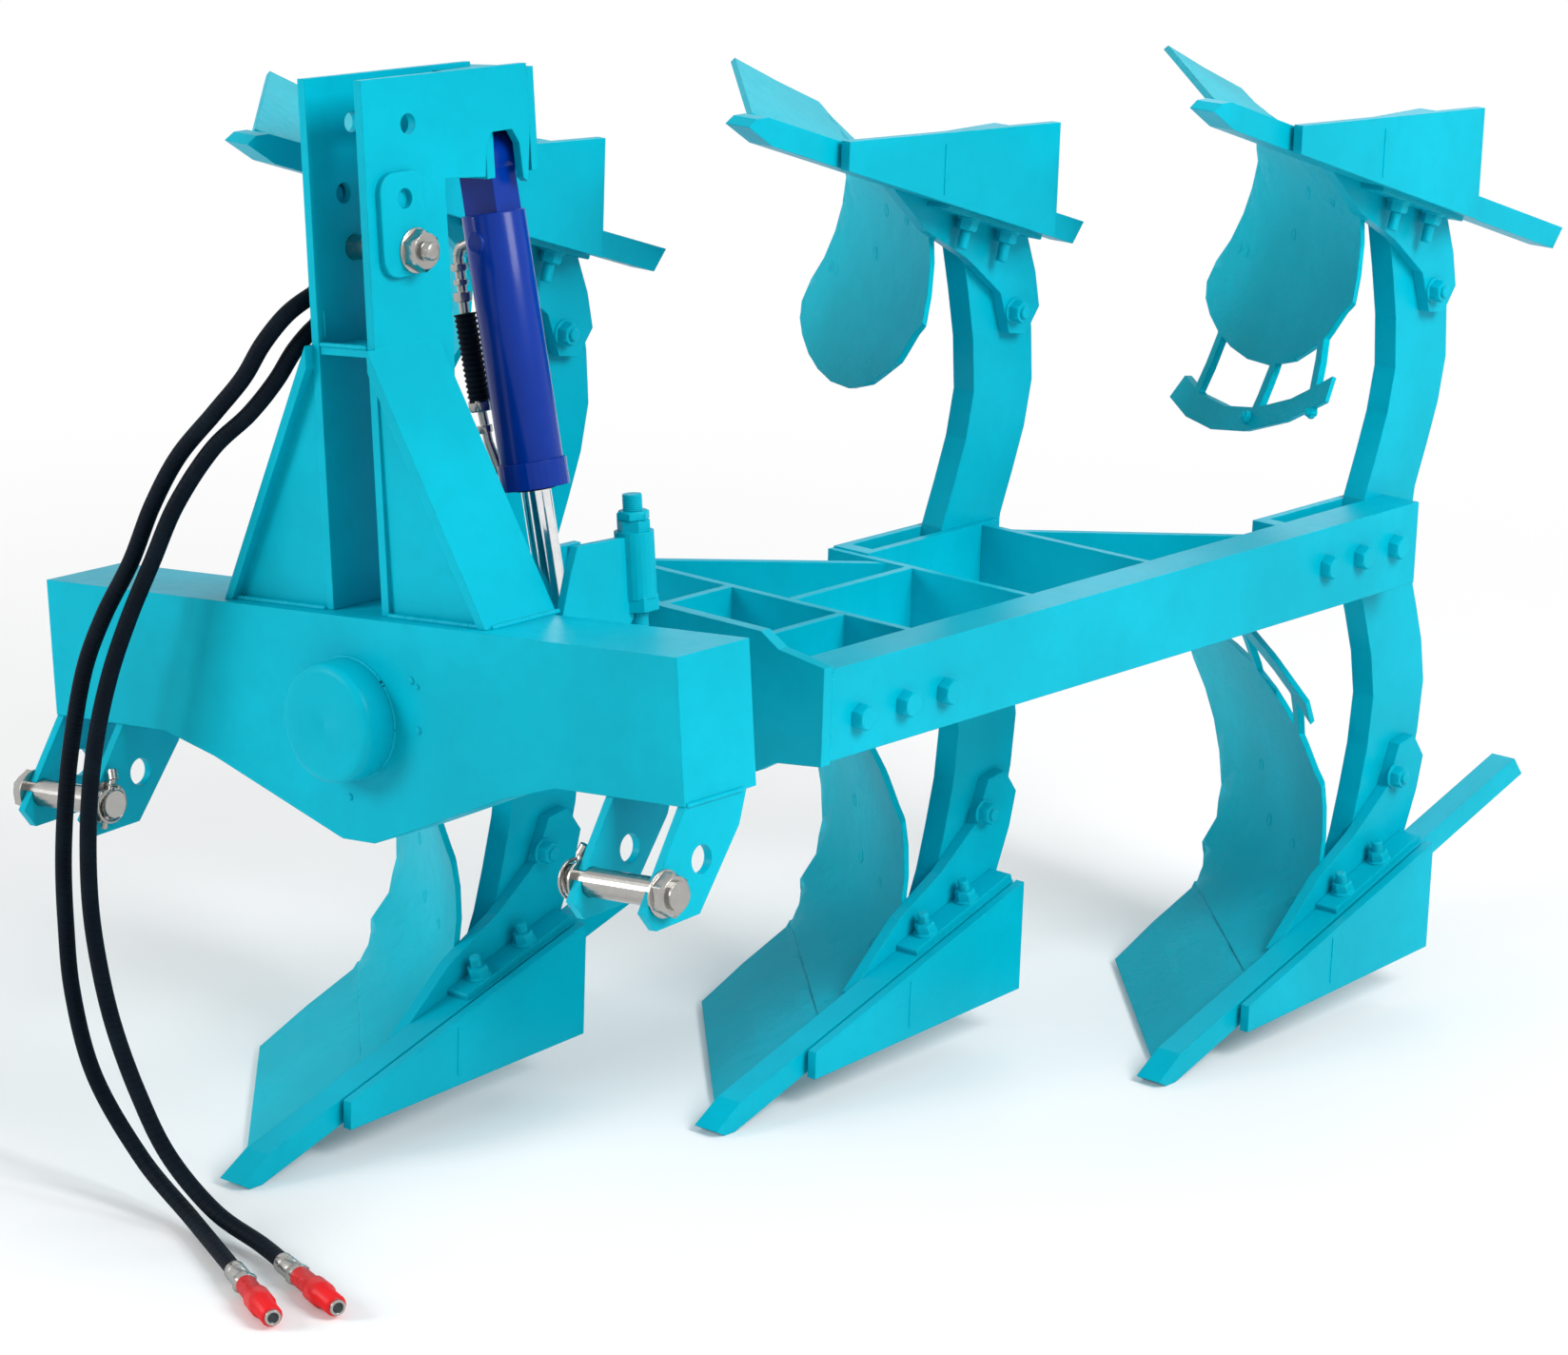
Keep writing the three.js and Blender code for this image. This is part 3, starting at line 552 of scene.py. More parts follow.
class PLOUGH_OT_camera(bpy.types.Operator):
    """Sets up the camera"""

    bl_idname = "plough.camera"
    bl_label = "Camera"

    def execute(self, context):
        stage = context.scene.plough_stage
        level = Vector((-math.sin(stage.turn), math.cos(stage.turn), 0))
        ahead = level * math.cos(stage.dip) - Vector((0, 0, math.sin(stage.dip)))
        side = Vector((level.y, -level.x, 0))
        up = side.cross(ahead)
        right = side * math.cos(stage.roll) + up * math.sin(stage.roll)
        top = up * math.cos(stage.roll) - side * math.sin(stage.roll)
        data = bpy.data.cameras.new("camera")
        data.sensor_width = 36
        data.lens = stage.lens
        camera = bpy.data.objects.new("camera", data)
        context.scene.collection.objects.link(camera)
        turn = Matrix((right, top, -ahead)).transposed().to_4x4()
        camera.matrix_world = Matrix.Translation(at_shaft(*AIM) - ahead * stage.distance) @ turn
        context.scene.camera = camera
        return {"FINISHED"}


def floor_finish(colour, lift):
    """A matt floor, lifted a little to white near the plough and all the way far from it."""
    f = Finish("floor")
    grit = f.noise(4.0, 4.0)
    f.set(Base_Color=f.blend(grit, shade(colour, 0.99), shade(colour, 1.01)), Roughness=0.9)
    f.set(Specular_IOR_Level=0.1)
    away = f.node("ShaderNodeVectorMath", {"operation": "LENGTH"}, {0: f.place}).out("Value")
    lit = f.studio() * (lift + away.between(1.9, 4.2) * (1 - lift))
    white = f.node("ShaderNodeEmission", {}, {"Color": (1.0, 1.0, 1.0, 1.0), "Strength": 1.0})
    both = f.node("ShaderNodeMixShader", {}, {0: lit, 1: f.shader.out("BSDF"), 2: white.out("Emission")})
    f.put(f.end.node.inputs["Surface"], both.out("Shader"))
    return f.material


def floor(look, wide=45.0):
    """A flat square floor, wide metres each way from the middle."""
    data = bpy.data.meshes.new("floor")
    corners = [(-wide, -wide, 0), (wide, -wide, 0), (wide, wide, 0), (-wide, wide, 0)]
    data.from_pydata(corners, [], [(0, 1, 2, 3)])
    data.materials.append(look)
    made = bpy.data.objects.new("floor", data)
    bpy.context.scene.collection.objects.link(made)
    made.location.z = -0.0005


def white_sky(strength):
    """A plain world, white to look at, that lights the plough at the strength given."""
    world = bpy.data.worlds.new("studio")
    world.use_nodes = True
    sky = Finish.within(world.node_tree)
    power = sky.studio() * (1 - strength) + strength
    back = sky.node("ShaderNodeBackground", {}, {"Color": (1.0, 1.0, 1.0, 1.0), "Strength": power})
    sky.node("ShaderNodeOutputWorld", {}, {"Surface": back.out("Background")})
    return world


def lamp(name, point, target, size, watts):
    """A soft square lamp aimed at a target."""
    data = bpy.data.lights.new(name, "AREA")
    data.shape = "SQUARE"
    data.size = size
    data.energy = watts
    made = bpy.data.objects.new(name, data)
    bpy.context.scene.collection.objects.link(made)
    made.matrix_world = facing(Vector(point), Vector(point) - Vector(target))


class PLOUGH_OT_stage(bpy.types.Operator):
    """Lays the floor and hangs the lamps"""

    bl_idname = "plough.stage"
    bl_label = "Floor and lamps"

    def execute(self, context):
        scene = context.scene
        stage = scene.plough_stage
        scene.view_settings.view_transform = "Standard"
        floor(floor_finish(stage.floor, stage.lift))
        scene.world = white_sky(stage.sky)
        target = at_shaft(0, 900, 0)
        lamp("key", (5.5, 0.0, 5.0), target, 3.0, 400)
        lamp("back", (-2.5, 6.0, 5.0), target, 4.0, 130)
        lamp("front", (-3.5, -6.0, 3.2), target, 3.0, 260)
        return {"FINISHED"}


# ---------------------------------------------------------------- hoses
# The hoses' routes, from the valve block to the couplers, in mm from the shaft's front end.
HOSE_A = [(-132.92, 99.7, 508.89), (-132.92, 85.7, 508.89),
          (-134, 60, 502), (-142, 25, 482), (-158, 0, 446), (-178, -14, 402), (-212, -30, 354),
          (-262, -45, 291), (-292, -60, 226), (-314, -76, 152), (-344, -94, 80), (-372, -100, 10),
          (-392, -104, -86), (-404, -104, -165), (-410, -104, -256), (-406, -104, -340),
          (-394, -104, -430), (-358, -100, -535), (-277, -92, -630), (-161, -116, -672),
          (-50, -170, -674.6), (48, -220, -674.6)]
HOSE_B = [(-128.95, 99.7, 471.10), (-128.95, 85.7, 471.10),
          (-130, 62, 463), (-136, 34, 438), (-150, 14, 398), (-178, -4, 354), (-213, -30, 310),
          (-249, -60, 235), (-276, -75, 160), (-303, -90, 83), (-327, -100, 6), (-348, -105, -85),
          (-356, -110, -186), (-353, -110, -300), (-335, -110, -385), (-309, -110, -456),
          (-264, -112, -530), (-205, -114, -600), (-120, -112, -655), (-30, -116, -674),
          (75, -154, -674.6)]


class PLOUGH_OT_hoses(bpy.types.Operator):
    """Hangs the two hoses from the valve block to their couplers on the floor"""

    bl_idname = "plough.hoses"
    bl_label = "Hoses"

    def execute(self, context):
        wide = context.scene.plough_looks.hose
        for number, route in ((1, HOSE_A), (2, HOSE_B)):
            line = curved([at_shaft(*p) for p in route])
            length = sum((b - a).length for a, b in zip(line, line[1:]))
            hose = laid_hose(number, line, wide)
            carried = [smooth_copy(f"coupler_{number}")] + hose_ends(number, route)
        return {"FINISHED"}


def laid_hose(number, line, wide):
    """A round curve along the line, wide metres across, standing for the frame's plain hose."""
    data = bpy.data.curves.new(f"hose_{number}", "CURVE")
    data.dimensions = "3D"
    data.bevel_depth = wide / 2
    data.bevel_resolution = 4
    data.use_fill_caps = True
    spline = data.splines.new("POLY")
    spline.points.add(len(line) - 1)
    for point, spot in zip(spline.points, line):
        point.co = (*spot, 1.0)
    spline.use_smooth = True
    data.materials.append(finish("hose"))
    hose = bpy.data.objects.new(f"laid_hose_{number}", data)
    bpy.context.scene.collection.objects.link(hose)
    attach(hose, HEADSTOCK)
    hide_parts(f"hose_{number}")
    return hose


def hose_ends(number, route):
    """The crimped ferrules and hexagons at a hose's two ends, and its coupler's open nose with a dark disc of
    painted shade inside it.
    """
    steel = Batch()
    port = facing(at_shaft(*route[0]), (0, -1, 0))
    steel.turned(port, [(10, 0.4), (10, 4)])
    steel.hexagon(port, 27, 10, 3)
    lead = facing(at_shaft(*route[1]), at_shaft(*route[2]) - at_shaft(*route[1]))
    steel.turned(lead, [(11, -2), (13.4, 1), (13.4, 9), (12.7, 10), (13.4, 11), (13.4, 20), (12.2, 24)])
    end = at_shaft(*route[-1])
    tail = facing(end, end - at_shaft(*route[-2]))
    steel.turned(tail, [(12, -52), (13.6, -49), (13.6, -38), (12.6, -37), (12.6, -35), (13.6, -34),
                        (13.6, -16), (12, -13), (12, 0)])
    steel.hexagon(tail, 28, 12, -12)
    nose, inner = 111, 6.6
    steel.turned(tail, [(10.4, nose - 15), (10.4, nose - 1), (9.6, nose), (7.2, nose), (inner, nose - 2.4)])
    # painted shade: a dark disc just inside the coupler's nose stands for the shade down its hole
    bore = Batch()
    bore.turned(tail, [(inner, nose - 2.6), (inner, nose - 2.1)], 20)
    return [steel.made(f"hose_ends_{number}", HEADSTOCK, finish("bare_steel")),
            bore.made(f"coupler_bore_shade_{number}", HEADSTOCK, finish("dark"))]


# ---------------------------------------------------------------- frame's own pieces
class PLOUGH_OT_finishes(bpy.types.Operator):
    """Gives each piece of the frame its finish"""

    bl_idname = "plough.finishes"
    bl_label = "Finishes"

    def execute(self, context):
        for name, node in frame["nodes"].items():
            if not node.material_slots:
                node.data.materials.append(finish("paint"))
            for held in node.material_slots:
                held.material = finish(slot_of(name))
        return {"FINISHED"}


# Pieces whose faces are curved, by how their names begin.
ROUNDED = ("mouldboard", "hitch_pin", "top_link_pin", "turnover_shaft", "eye_pin")


class PLOUGH_OT_rounded(bpy.types.Operator):
    """Stands smooth copies in for the pieces with curved faces"""

    bl_idname = "plough.rounded"
    bl_label = "Curved pieces"

    def execute(self, context):
        for name in frame["nodes"]:
            if name.startswith(ROUNDED):
                smooth_copy(name)
        return {"FINISHED"}


def body_of(name):
    """The body that a piece of the frame moves with."""
    if name in (BARREL, ROD):
        return name
    if name.startswith(("turnover_shaft", "front_plate", "main_rail", "shank", "ladder",
                        "share", "mouldboard", "landside", "point_bar")):
        return PLOUGH
    return HEADSTOCK


def slot_of(name):
    """The finish that a piece of the frame wears."""
    if name.startswith(("mouldboard", "share_")):
        return "board_paint"
    if name == BARREL:
        return "blue_paint"
    if name in (ROD, "eye_pin"):
        return "chrome"
    if name.startswith(("top_link_pin", "hitch_pin", "valve_block")):
        return "bare_steel"
    if name.startswith("coupler"):
        return "red_paint"
    if name.startswith("hose"):
        return "hose"
    return "paint"


# ---------------------------------------------------------------- headstock details
# Drops of weld spatter on the beam's front, as (across, up, radius), in mm from the shaft's middle.
SPATTER = ((109, 57, 5.5), (119, 50, 4), (116, -5, 5.5), (-10, -102, 5), (-84, 40, 3))


class PLOUGH_OT_cap(bpy.types.Operator):
    """Turns the bearing cap, with its weld and the spatter round it"""

    bl_idname = "plough.cap"
    bl_label = "Bearing cap"

    def execute(self, context):
        low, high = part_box("bearing_cap")
        radius = (high.x - low.x) * 500
        deep = (high.y - low.y) * 1000
        middle = Vector(((low.x + high.x) / 2, high.y, (low.z + high.z) / 2))
        cap = Batch()
        cap.turned(facing(middle, (0, -1, 0)), [
            (radius, 0), (radius, deep - 11), (radius - 1, deep - 6.5), (radius - 3.5, deep - 3),
            (radius - 7, deep - 0.9), (radius - 12, deep), (7, deep), (5, deep - 0.7), (2, deep - 1.4)], 72)
        piece = cap.made("bearing_cap_turned", HEADSTOCK, finish("paint"))
        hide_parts("bearing_cap")
        weld = Batch()
        ring = [middle + Vector((math.cos(a), 0, math.sin(a))) * (radius + 0.6) / 1000
                for a in (2 * math.pi * i / 60 for i in range(61))]
        weld.bead(ring, 2.6, 3)
        for x, z, size in SPATTER:
            spot = facing(on_head(x, 0.2, z), head_way(0, -1, 0))
            weld.turned(spot, [(size, 0), (size * 0.9, 1.4), (size * 0.6, 2.8), (size * 0.2, 3.4)], 12)
        weld.made("cap_weld", HEADSTOCK, finish("paint"))
        return {"FINISHED"}


def round_reach(start, way, half, corner):
    """How far way runs from start to the edge of a rectangle with round corners, by halving."""
    low, high = 0.0, 4 * max(half)
    for _ in range(30):
        reach = (low + high) / 2
        spot = start + way * reach
        past = [max(abs(spot[k]) - half[k] + corner, 0) for k in (0, 1)]
        if math.hypot(*past) < corner:
            low = reach
        else:
            high = reach
    return low


def pad(batch, place, half, hole, hole_radius, thick, corner=24, sides=64):
    """An upright pad with round corners and one hole, on place's XY, in millimetres."""
    middle = Vector(hole)
    outline = []
    for i in range(sides):
        turn = 2 * math.pi * i / sides
        way = Vector((math.cos(turn), math.sin(turn)))
        reach = round_reach(middle, way, half, corner)
        section = ((reach, 0), (reach, thick - 1.2), (reach - 1.6, thick),
                   (hole_radius, thick), (hole_radius, 0.2))
        outline.append([(middle + way * out, height) for out, height in section])
    rows = [[batch.mesh.verts.new(place @ (Vector((*flat, height)) / 1000)) for flat, height in level]
            for level in zip(*outline)]
    batch.walls(rows)
    batch.mesh.faces.new(tuple(reversed(rows[-1])))


def linch(batch, point, along, up, size=1.0):
    """A linch pin: its bar through the pin's end and its spring ring folded over it."""
    along, up = Vector(along).normalized(), Vector(up).normalized()
    side = along.cross(up)
    bar, low, high = up * 0.034 * size, up * 0.030 * size, up * 0.042 * size
    batch.pipe([point + bar, point - bar], 4.6 * size)
    batch.pipe([point + low + along * 0.002, point + high - along * 0.004], 6.5 * size)
    for lean, wide in ((0.0, 24), (0.5, 21)):
        ring = []
        for i in range(21):
            turn = math.radians(70 + 320 * i / 20 + 40 * lean)
            out = (up * math.sin(turn) + side * math.cos(turn)) * wide * size / 1000
            ring.append(point + out + along * (0.006 + lean * 0.012 * math.sin(turn)))
        batch.pipe(ring, 2.1 * size, 8)


class PLOUGH_OT_mast(bpy.types.Operator):
    """Adds the mast's pads, its top link pin's nut and its welds"""

    bl_idname = "plough.mast"
    bl_label = "Mast"

    def execute(self, context):
        plates = Batch()
        for side in (1, -1):
            turn = Matrix((head_way(0, side, 0), head_way(0, 0, 1), head_way(side, 0, 0))).transposed()
            place = Matrix.Translation(on_head(side * 54.1, 84, 604)) @ turn.to_4x4()
            pad(plates, place, (38, 64), (side * 3, 31), 12.5, 9)
        plates.made("mast_pads", HEADSTOCK, finish("paint"))
        steel = Batch()
        y, z = TOP_PIN
        near = facing(on_head(63, y, z), head_way(1, 0, 0))
        steel.washer(near, 28, 2, 2.6)
        steel.hexagon(near, 46, 17, 2.5)
        steel.thread(near, 11, 18, 31, 2.2)
        far = facing(on_head(-63, y, z), head_way(-1, 0, 0))
        steel.washer(far, 26, 2.2, 3)
        steel.hexagon(far, 40, 14, 2.5)
        steel.thread(far, 9.5, 16, 30, 2.2)
        linch(steel, on_head(-84, y - 2, z - 4), head_way(-1, 0, 0), head_way(0, 0.3, 1), 0.8)
        steel.made("top_link_fastenings", HEADSTOCK, finish("bare_steel"))
        weld = Batch()
        beam_top = 128.5
        for side in (1, -1):
            weld.bead([on_head(side * x, 23, beam_top) for x in (54, 226)], 3.6, 5)
            weld.bead([on_head(side * 227, y, beam_top) for y in (24, 166)], 3.6, 6)
            weld.bead([on_head(side * 42, 40, z) for z in (462, 500)], 2.2, 7)
        weld.bead([on_head(x, 29, 458.5) for x in (-41, 41)], 3.2, 8)
        weld.made("mast_weld", HEADSTOCK, finish("paint"))
        return {"FINISHED"}


HITCH_FACES = (545.6, 532.4, 432.6, 419.4)      # of the hitch plates, outwards from the middle, in mm


class PLOUGH_OT_hitch(bpy.types.Operator):
    """Adds the nuts, linch pins and welds of the lower hitch"""

    bl_idname = "plough.hitch"
    bl_label = "Lower hitch"

    def execute(self, context):
        steel = Batch()
        weld = Batch()
        for side in (1, -1):
            outward, inward = head_way(side, 0, 0), head_way(-side, 0, 0)
            nut = facing(on_head(side * 545.4, *LINK_PIN), outward)
            steel.washer(nut, 29, 2.4, 3)
            steel.hexagon(nut, 48, 17, 3)
            linch(steel, on_head(side * 408, *LINK_PIN), inward, head_way(0, 0.35, 1))
            steel.washer(facing(on_head(side * 419.6, *LINK_PIN), inward), 27, 3, 4)
            for x in HITCH_FACES:
                weld.bead([on_head(side * x, y, -51) for y in (3, 108)], 3.2, int(x))
        steel.made("hitch_fastenings", HEADSTOCK, finish("bare_steel"))
        weld.made("hitch_weld", HEADSTOCK, finish("paint"))
        return {"FINISHED"}


class PLOUGH_OT_stops(bpy.types.Operator):
    """Cuts the threads of the two stop screws"""

    bl_idname = "plough.stops"
    bl_label = "Stop screws"

    def execute(self, context):
        screws = Batch()
        for side in (1, -1):
            place = facing(on_head(side * 230, 284, 0), head_way(0, 0, 1))
            screws.thread(place, 12.4, 221, 251.5)
            screws.thread(place, 12.4, 60, 104)
            screws.hexagon(place, 37, 11, 220.5)
        screws.made("stop_threads", HEADSTOCK, finish("paint"))
        return {"FINISHED"}


class PLOUGH_OT_oil(bpy.types.Operator):
    """Adds the oil line along the cylinder, with its ribbed sleeve and fittings"""

    bl_idname = "plough.oil"
    bl_label = "Oil line"

    def execute(self, context):
        top, ribbed, tail = on_head(-50, 290, 535), on_head(-44, 290, 462), on_head(-27, 290, 350)
        sleeve = Batch()
        sleeve.pipe([ribbed, tail], 14.5, 20, 1.8, 7)
        sleeve.made("oil_sleeve", BARREL, finish("sleeve"))
        metal = Batch()
        metal.pipe([top, ribbed], 6.5)
        down = (ribbed - top).normalized()
        for along, wide, tall in ((0.010, 20, 9), (0.030, 17, 7), (0.046, 21, 12)):
            metal.hexagon(facing(top + down * along, down), wide, tall)
        down = (tail - ribbed).normalized()
        metal.hexagon(facing(tail - down * 0.002, down), 27, 14)
        metal.pipe([tail, on_head(-14, 288, 300), on_head(2, 290, 262), on_head(24, 293, 256)], 6)
        metal.hexagon(facing(tail + down * 0.03, down), 19, 10)
        metal.pipe([top, top + Vector((0.004, 0, 0.012)), on_head(-30, 291, 553)], 7)
        metal.made("oil_line", BARREL, finish("bare_steel"))
        return {"FINISHED"}


def reach_of(node, start, way, low, high, past=30):
    """How far along way a node's points run whose distance from that line is between low and high, in mm.

    Points less than past from the start belong to the eye there and aren't counted.
    """
    found = []
    for corner in frame["nodes"][node].data.vertices:
        step = corner.co - start
        along = step.dot(way)
        if along * 1000 > past and low <= (step - way * along).length * 1000 <= high:
            found.append(along * 1000)
    if not found:
        raise RuntimeError(f"no round part of {node} lies between {low} and {high} mm from its line")
    return min(found), max(found)


BARREL_REACH = (38.5, 48)       # how far the corners of the frame's barrel and rod lie from their line, in mm
ROD_REACH = (18, 19.3)
TUBE_RADIUS, SKIN, ROD_RADIUS = 40.35, 3.4, 19.15       # of the turned ones that cover them, in mm


class PLOUGH_OT_cylinder(bpy.types.Operator):
    """Turns the barrel's tube and the chromed rod, smooth over the frame's own"""

    bl_idname = "plough.cylinder"
    bl_label = "Cylinder"

    def execute(self, context):
        start = Vector(JOINTS["cylinder_swing"]["pos_m"])
        way = Vector(JOINTS["rod_slide"]["axis"]).normalized()
        place = facing(start, way)
        top, end = reach_of(BARREL, start, way, *BARREL_REACH)
        radius = TUBE_RADIUS
        tube = Batch()
        tube.turned(place, [
            (radius - 9, top - 0.4), (radius - 3, top - 0.4), (radius - 0.8, top + 0.8), (radius, top + 3),
            (radius, end - 6), (radius - 1.2, end - 2), (radius - 4, end + 0.3), (21, end + 0.5),
            (21, end - 1.5), (radius - SKIN, end - 1.5), (radius - SKIN, top + 1)], 72, hollow=True)
        port = facing(start + way * (top + 34) / 1000 + Vector((0, -0.0395, 0)), (0, -1, 0))
        tube.turned(port, [(13, -2), (13, 1.2), (12, 2)])
        tube.made("barrel_tube", BARREL, finish("blue_paint"))
        seal = Batch()
        rings = [(26, end - 1), (26, end + 2.2), (24.5, end + 3), (20, end + 3), (20, end - 1)]
        seal.turned(place, rings, 48, hollow=True)
        seal.made("gland_seal", BARREL, finish("sleeve"))
        top, end = reach_of(ROD, start, way, *ROD_REACH)
        rod = Batch()
        rod.turned(place, [(ROD_RADIUS, top + 1), (ROD_RADIUS, end - 1)], 64)
        rod.made("rod_chrome", ROD, finish("chrome"))
        return {"FINISHED"}


# ---------------------------------------------------------------- plough frame details
# Bolts through the rail, along it from the shaft's front end, in mm.
FRONT_BOLTS, REAR_BOLTS = (498, 588, 671), (1536, 1620, 1707)


def on_rail(x, y, z):
    """A point at x in metres across, and y and z in millimetres from the shaft's front end."""
    spot = at_shaft(0, y, z)
    return Vector((x, spot.y, spot.z))


class PLOUGH_OT_rail_bolts(bpy.types.Operator):
    """Bolts the shank holders to the main rail"""

    bl_idname = "plough.rail_bolts"
    bl_label = "Rail bolts"

    def execute(self, context):
        across = context.scene.plough_looks.rail_bolt
        bolts = Batch()
        low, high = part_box("main_rail")
        for y in FRONT_BOLTS:
            bolts.bolt(on_rail(high.x, y, -11), (1, 0, 0), across, False)
            bolts.bolt(on_rail(low.x, y, -11), (-1, 0, 0), across, True, 9)
        for y in REAR_BOLTS:
            bolts.bolt(on_rail(high.x, y, 4), (1, 0, 0), across, False)
        for number in (1, 2):
            low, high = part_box(f"shank_holder_{number}")
            shank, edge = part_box(f"shank_{number}")
            for y in (-0.035, 0.035):
                spot = Vector((low.x, (shank.y + edge.y) / 2 + y, (low.z + high.z) / 2))
                bolts.bolt(spot, (-1, 0, 0), across, True, 8)
        bolts.made("rail_bolts", PLOUGH, finish("paint"))
        weld = Batch()
        low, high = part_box("front_plate")
        weld.bead([Vector((high.x - 0.002, high.y, z)) for z in (low.z + 0.034, high.z - 0.034)], 3, 9)
        for name in ("ladder_front", "ladder_middle", "ladder_rear"):
            low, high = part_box(name)
            weld.bead([Vector((high.x - 0.001, high.y - 0.004, z)) for z in (low.z, high.z)], 3.2, 11)
        weld.made("frame_weld", PLOUGH, finish("paint"))
        return {"FINISHED"}


def tier(side):
    """Which bodies a side of the frame carries: 1 is above and -1 below."""
    return "upper" if side > 0 else "lower"


def on_body(number, side, x, y, height):
    """A point on a plough body, in millimetres from its point's tip; side is 1 above and -1 below."""
    low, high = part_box(f"point_bar_{tier(side)}_{number}")
    z = high.z + 0.012 if side > 0 else low.z - 0.012
    return Vector((low.x + 0.015 + x / 1000, low.y + y / 1000, z - side * height / 1000))


SLOPE = math.radians(17.5)      # of the frog's seat on the landside
# Each side's two bolts along the seat, its shank bolt as (along, up) and its seat bolts' stub, in mm.
BODY_BOLTS = ((1, (498, 587), (629, 349), 26), (-1, (471, 561), (612, 334), 15))


def on_seat(number, side, x, y):
    """A point on the seat of a body's frog, which rises along the landside."""
    return on_body(number, side, x, y, 33 + y * math.tan(SLOPE))


class PLOUGH_OT_frog_bolts(bpy.types.Operator):
    """Bolts each plough body to its frog and shank"""

    bl_idname = "plough.frog_bolts"
    bl_label = "Frog bolts"

    def execute(self, context):
        across = context.scene.plough_looks.frog_bolt
        bolts = Batch()
        weld = Batch()
        for number in BODIES:
            for side, along, shank_bolt, stub in BODY_BOLTS:
                away = Vector((0, -math.sin(SLOPE), -side * math.cos(SLOPE)))
                strip = ((-15, 428), (21, 428), (21, 640), (-15, 640))
                bolts.plate([on_seat(number, side, x, y) for x, y in strip], away, 11)
                for y in along:
                    bolts.bolt(on_seat(number, side, 3, y) + away * 0.011, away, across, True, stub)
                bolts.bolt(on_body(number, side, -15.3, *shank_bolt), (1, 0, 0), across + 2, True, 5)
                bolts.bolt(on_body(number, side, -69.6, *shank_bolt), (-1, 0, 0), across + 2, True, 8)
                weld.bead([on_seat(number, side, 22, y) for y in (428, 640)], 3, number)
        bolts.made("frog_bolts", PLOUGH, finish("paint"))
        weld.made("frog_weld", PLOUGH, finish("paint"))
        return {"FINISHED"}


# Places on a body, as (across, along, up) from its point's tip, in mm.
BOARD_BOLTS = ((-209, 580, 230), (-125, 520, 222), (-70, 443, 165), (-250, 610, 300))
BOARD_HOLES = ((-418, 718, 357), (-392, 700, 357))
# Bolts of the rear bodies' slatted bands, as (side, across, up).
BAND_BOLTS = ((1, -224, 552), (1, -67, 501), (-1, -250, 556))


def on_board(number, side, start, way):
    """Where a line from start along way meets a body's board, and which way the board faces there."""
    board = frame["nodes"][f"mouldboard_{tier(side)}_{number}"].data
    skin = BVHTree.FromPolygons([v.co for v in board.vertices], [p.vertices[:] for p in board.polygons])
    spot, normal, _, _ = skin.ray_cast(start, way)
    if spot is None:
        raise RuntimeError(f"no board of body {number} on the line from {tuple(start)}")
    return spot, normal


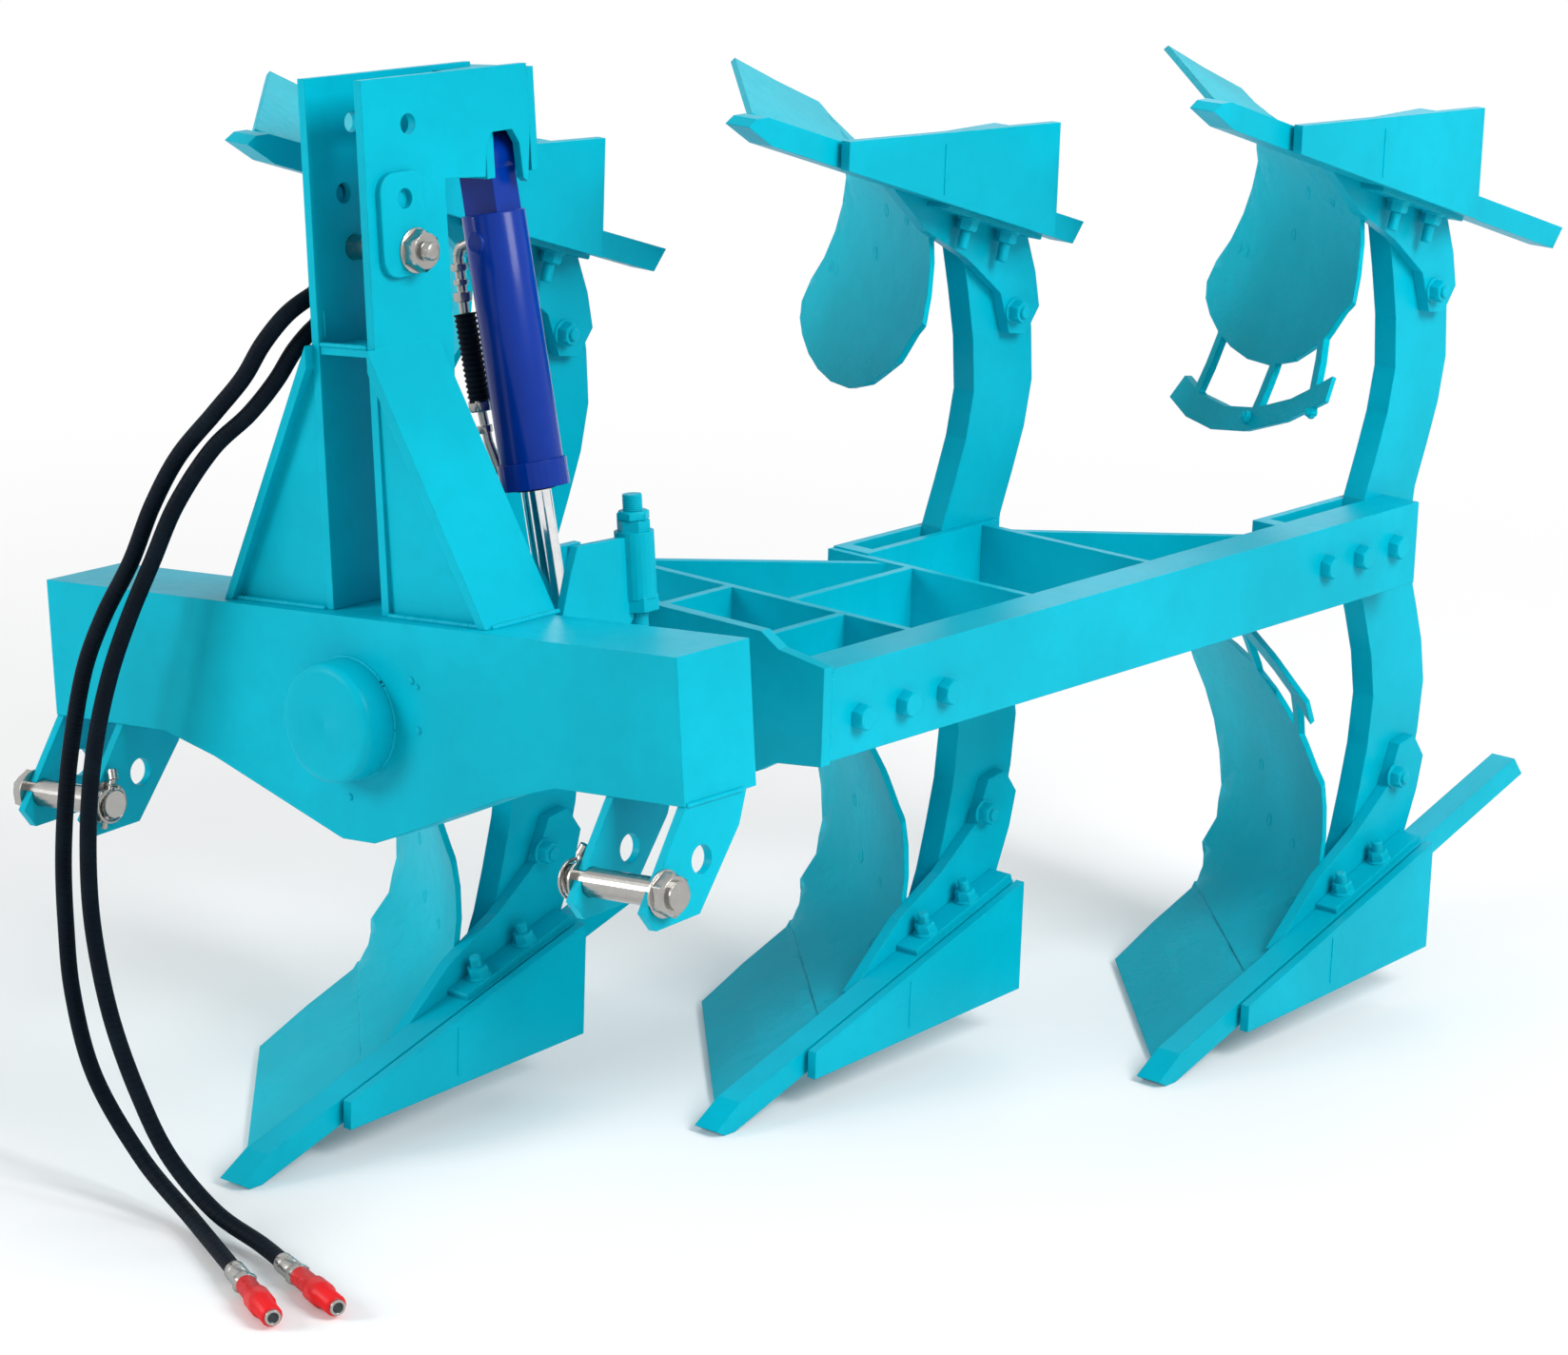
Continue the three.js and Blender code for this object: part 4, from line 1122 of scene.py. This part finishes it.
class PLOUGH_OT_board_bolts(bpy.types.Operator):
    """Sets the flush bolts into the boards, and a dark disc of painted shade in each open hole"""

    bl_idname = "plough.board_bolts"
    bl_label = "Board bolts and holes"

    def execute(self, context):
        heads = Batch()
        hole_shade = Batch()
        band = Batch()
        weld = Batch()
        out = Vector((-0.58, -0.81, 0.0)).normalized()

        def seat(number, side, spot):
            found, normal = on_board(number, side, on_body(number, side, *spot) + out * 0.15, -out)
            return facing(found, -normal if normal.dot(out) < 0 else normal)

        for number in BODIES:
            for side in (1, -1):
                for spot in BOARD_BOLTS:
                    place = seat(number, side, spot)
                    heads.turned(place, [(9.5, -0.6), (9.2, 0.5), (7.6, 0.7), (7.2, 0.2)], 20)
                for spot in BOARD_HOLES if side > 0 or number == 1 else ():
                    place = seat(number, side, spot)
                    # painted shade: a dark disc in each open hole stands for the shade inside it; a rim of
                    # board paint rings it
                    hole_shade.turned(place, [(6.5, -0.4), (6.5, 0.25)], 20)
                    heads.turned(place, [(8.6, -0.5), (8.2, 0.5), (6.6, 0.35)], 20)
                weld.bead([on_body(number, side, 46.2, 384, z) for z in (80, 150)], 1.6, number)
        rear = BODIES[-1]
        for side, x, z in BAND_BOLTS:
            spot, normal = on_board(rear, side, on_body(rear, side, x, 250, z), Vector((0, 1, 0)))
            band.bolt(spot, normal, 17, False, 4)
        heads.made("board_bolts", PLOUGH, finish("board_paint"))
        hole_shade.made("board_hole_shade", PLOUGH, finish("dark"))
        weld.made("landside_weld", PLOUGH, finish("paint"))
        band.made("band_bolts", PLOUGH, finish("board_paint"))
        return {"FINISHED"}


# ---------------------------------------------------------------- panel and run
PIECES = (
    PLOUGH_OT_camera, PLOUGH_OT_hoses, PLOUGH_OT_finishes, PLOUGH_OT_rounded, PLOUGH_OT_cap,
    PLOUGH_OT_mast, PLOUGH_OT_hitch, PLOUGH_OT_stops, PLOUGH_OT_cylinder, PLOUGH_OT_oil,
    PLOUGH_OT_rail_bolts, PLOUGH_OT_frog_bolts, PLOUGH_OT_board_bolts, PLOUGH_OT_stage)


class PLOUGH_PT_looks(bpy.types.Panel):
    """Lists the plough's pieces and their settings"""

    bl_label = "Plough"
    bl_idname = "PLOUGH_PT_looks"
    bl_space_type = "VIEW_3D"
    bl_region_type = "UI"
    bl_category = "Plough"

    def draw(self, context):
        for group in (context.scene.plough_looks, context.scene.plough_stage):
            box = self.layout.box()
            for name in group.__annotations__:
                box.prop(group, name)
        for piece in PIECES:
            self.layout.operator(piece.bl_idname)


CLASSES = (PloughLooks, PloughStage) + PIECES + (PLOUGH_PT_looks,)


def register():
    for made in CLASSES:
        bpy.utils.register_class(made)
    bpy.types.Scene.plough_looks = bpy.props.PointerProperty(type=PloughLooks)
    bpy.types.Scene.plough_stage = bpy.props.PointerProperty(type=PloughStage)


def unregister():
    del bpy.types.Scene.plough_stage
    del bpy.types.Scene.plough_looks
    for made in reversed(CLASSES):
        bpy.utils.unregister_class(made)


def run(piece):
    """Calls one piece's operator by its name."""
    group, name = piece.bl_idname.split(".")
    getattr(getattr(bpy.ops, group), name)()


def main():
    register()
    for piece in PIECES:
        run(piece)


if __name__ == "__main__":
    main()
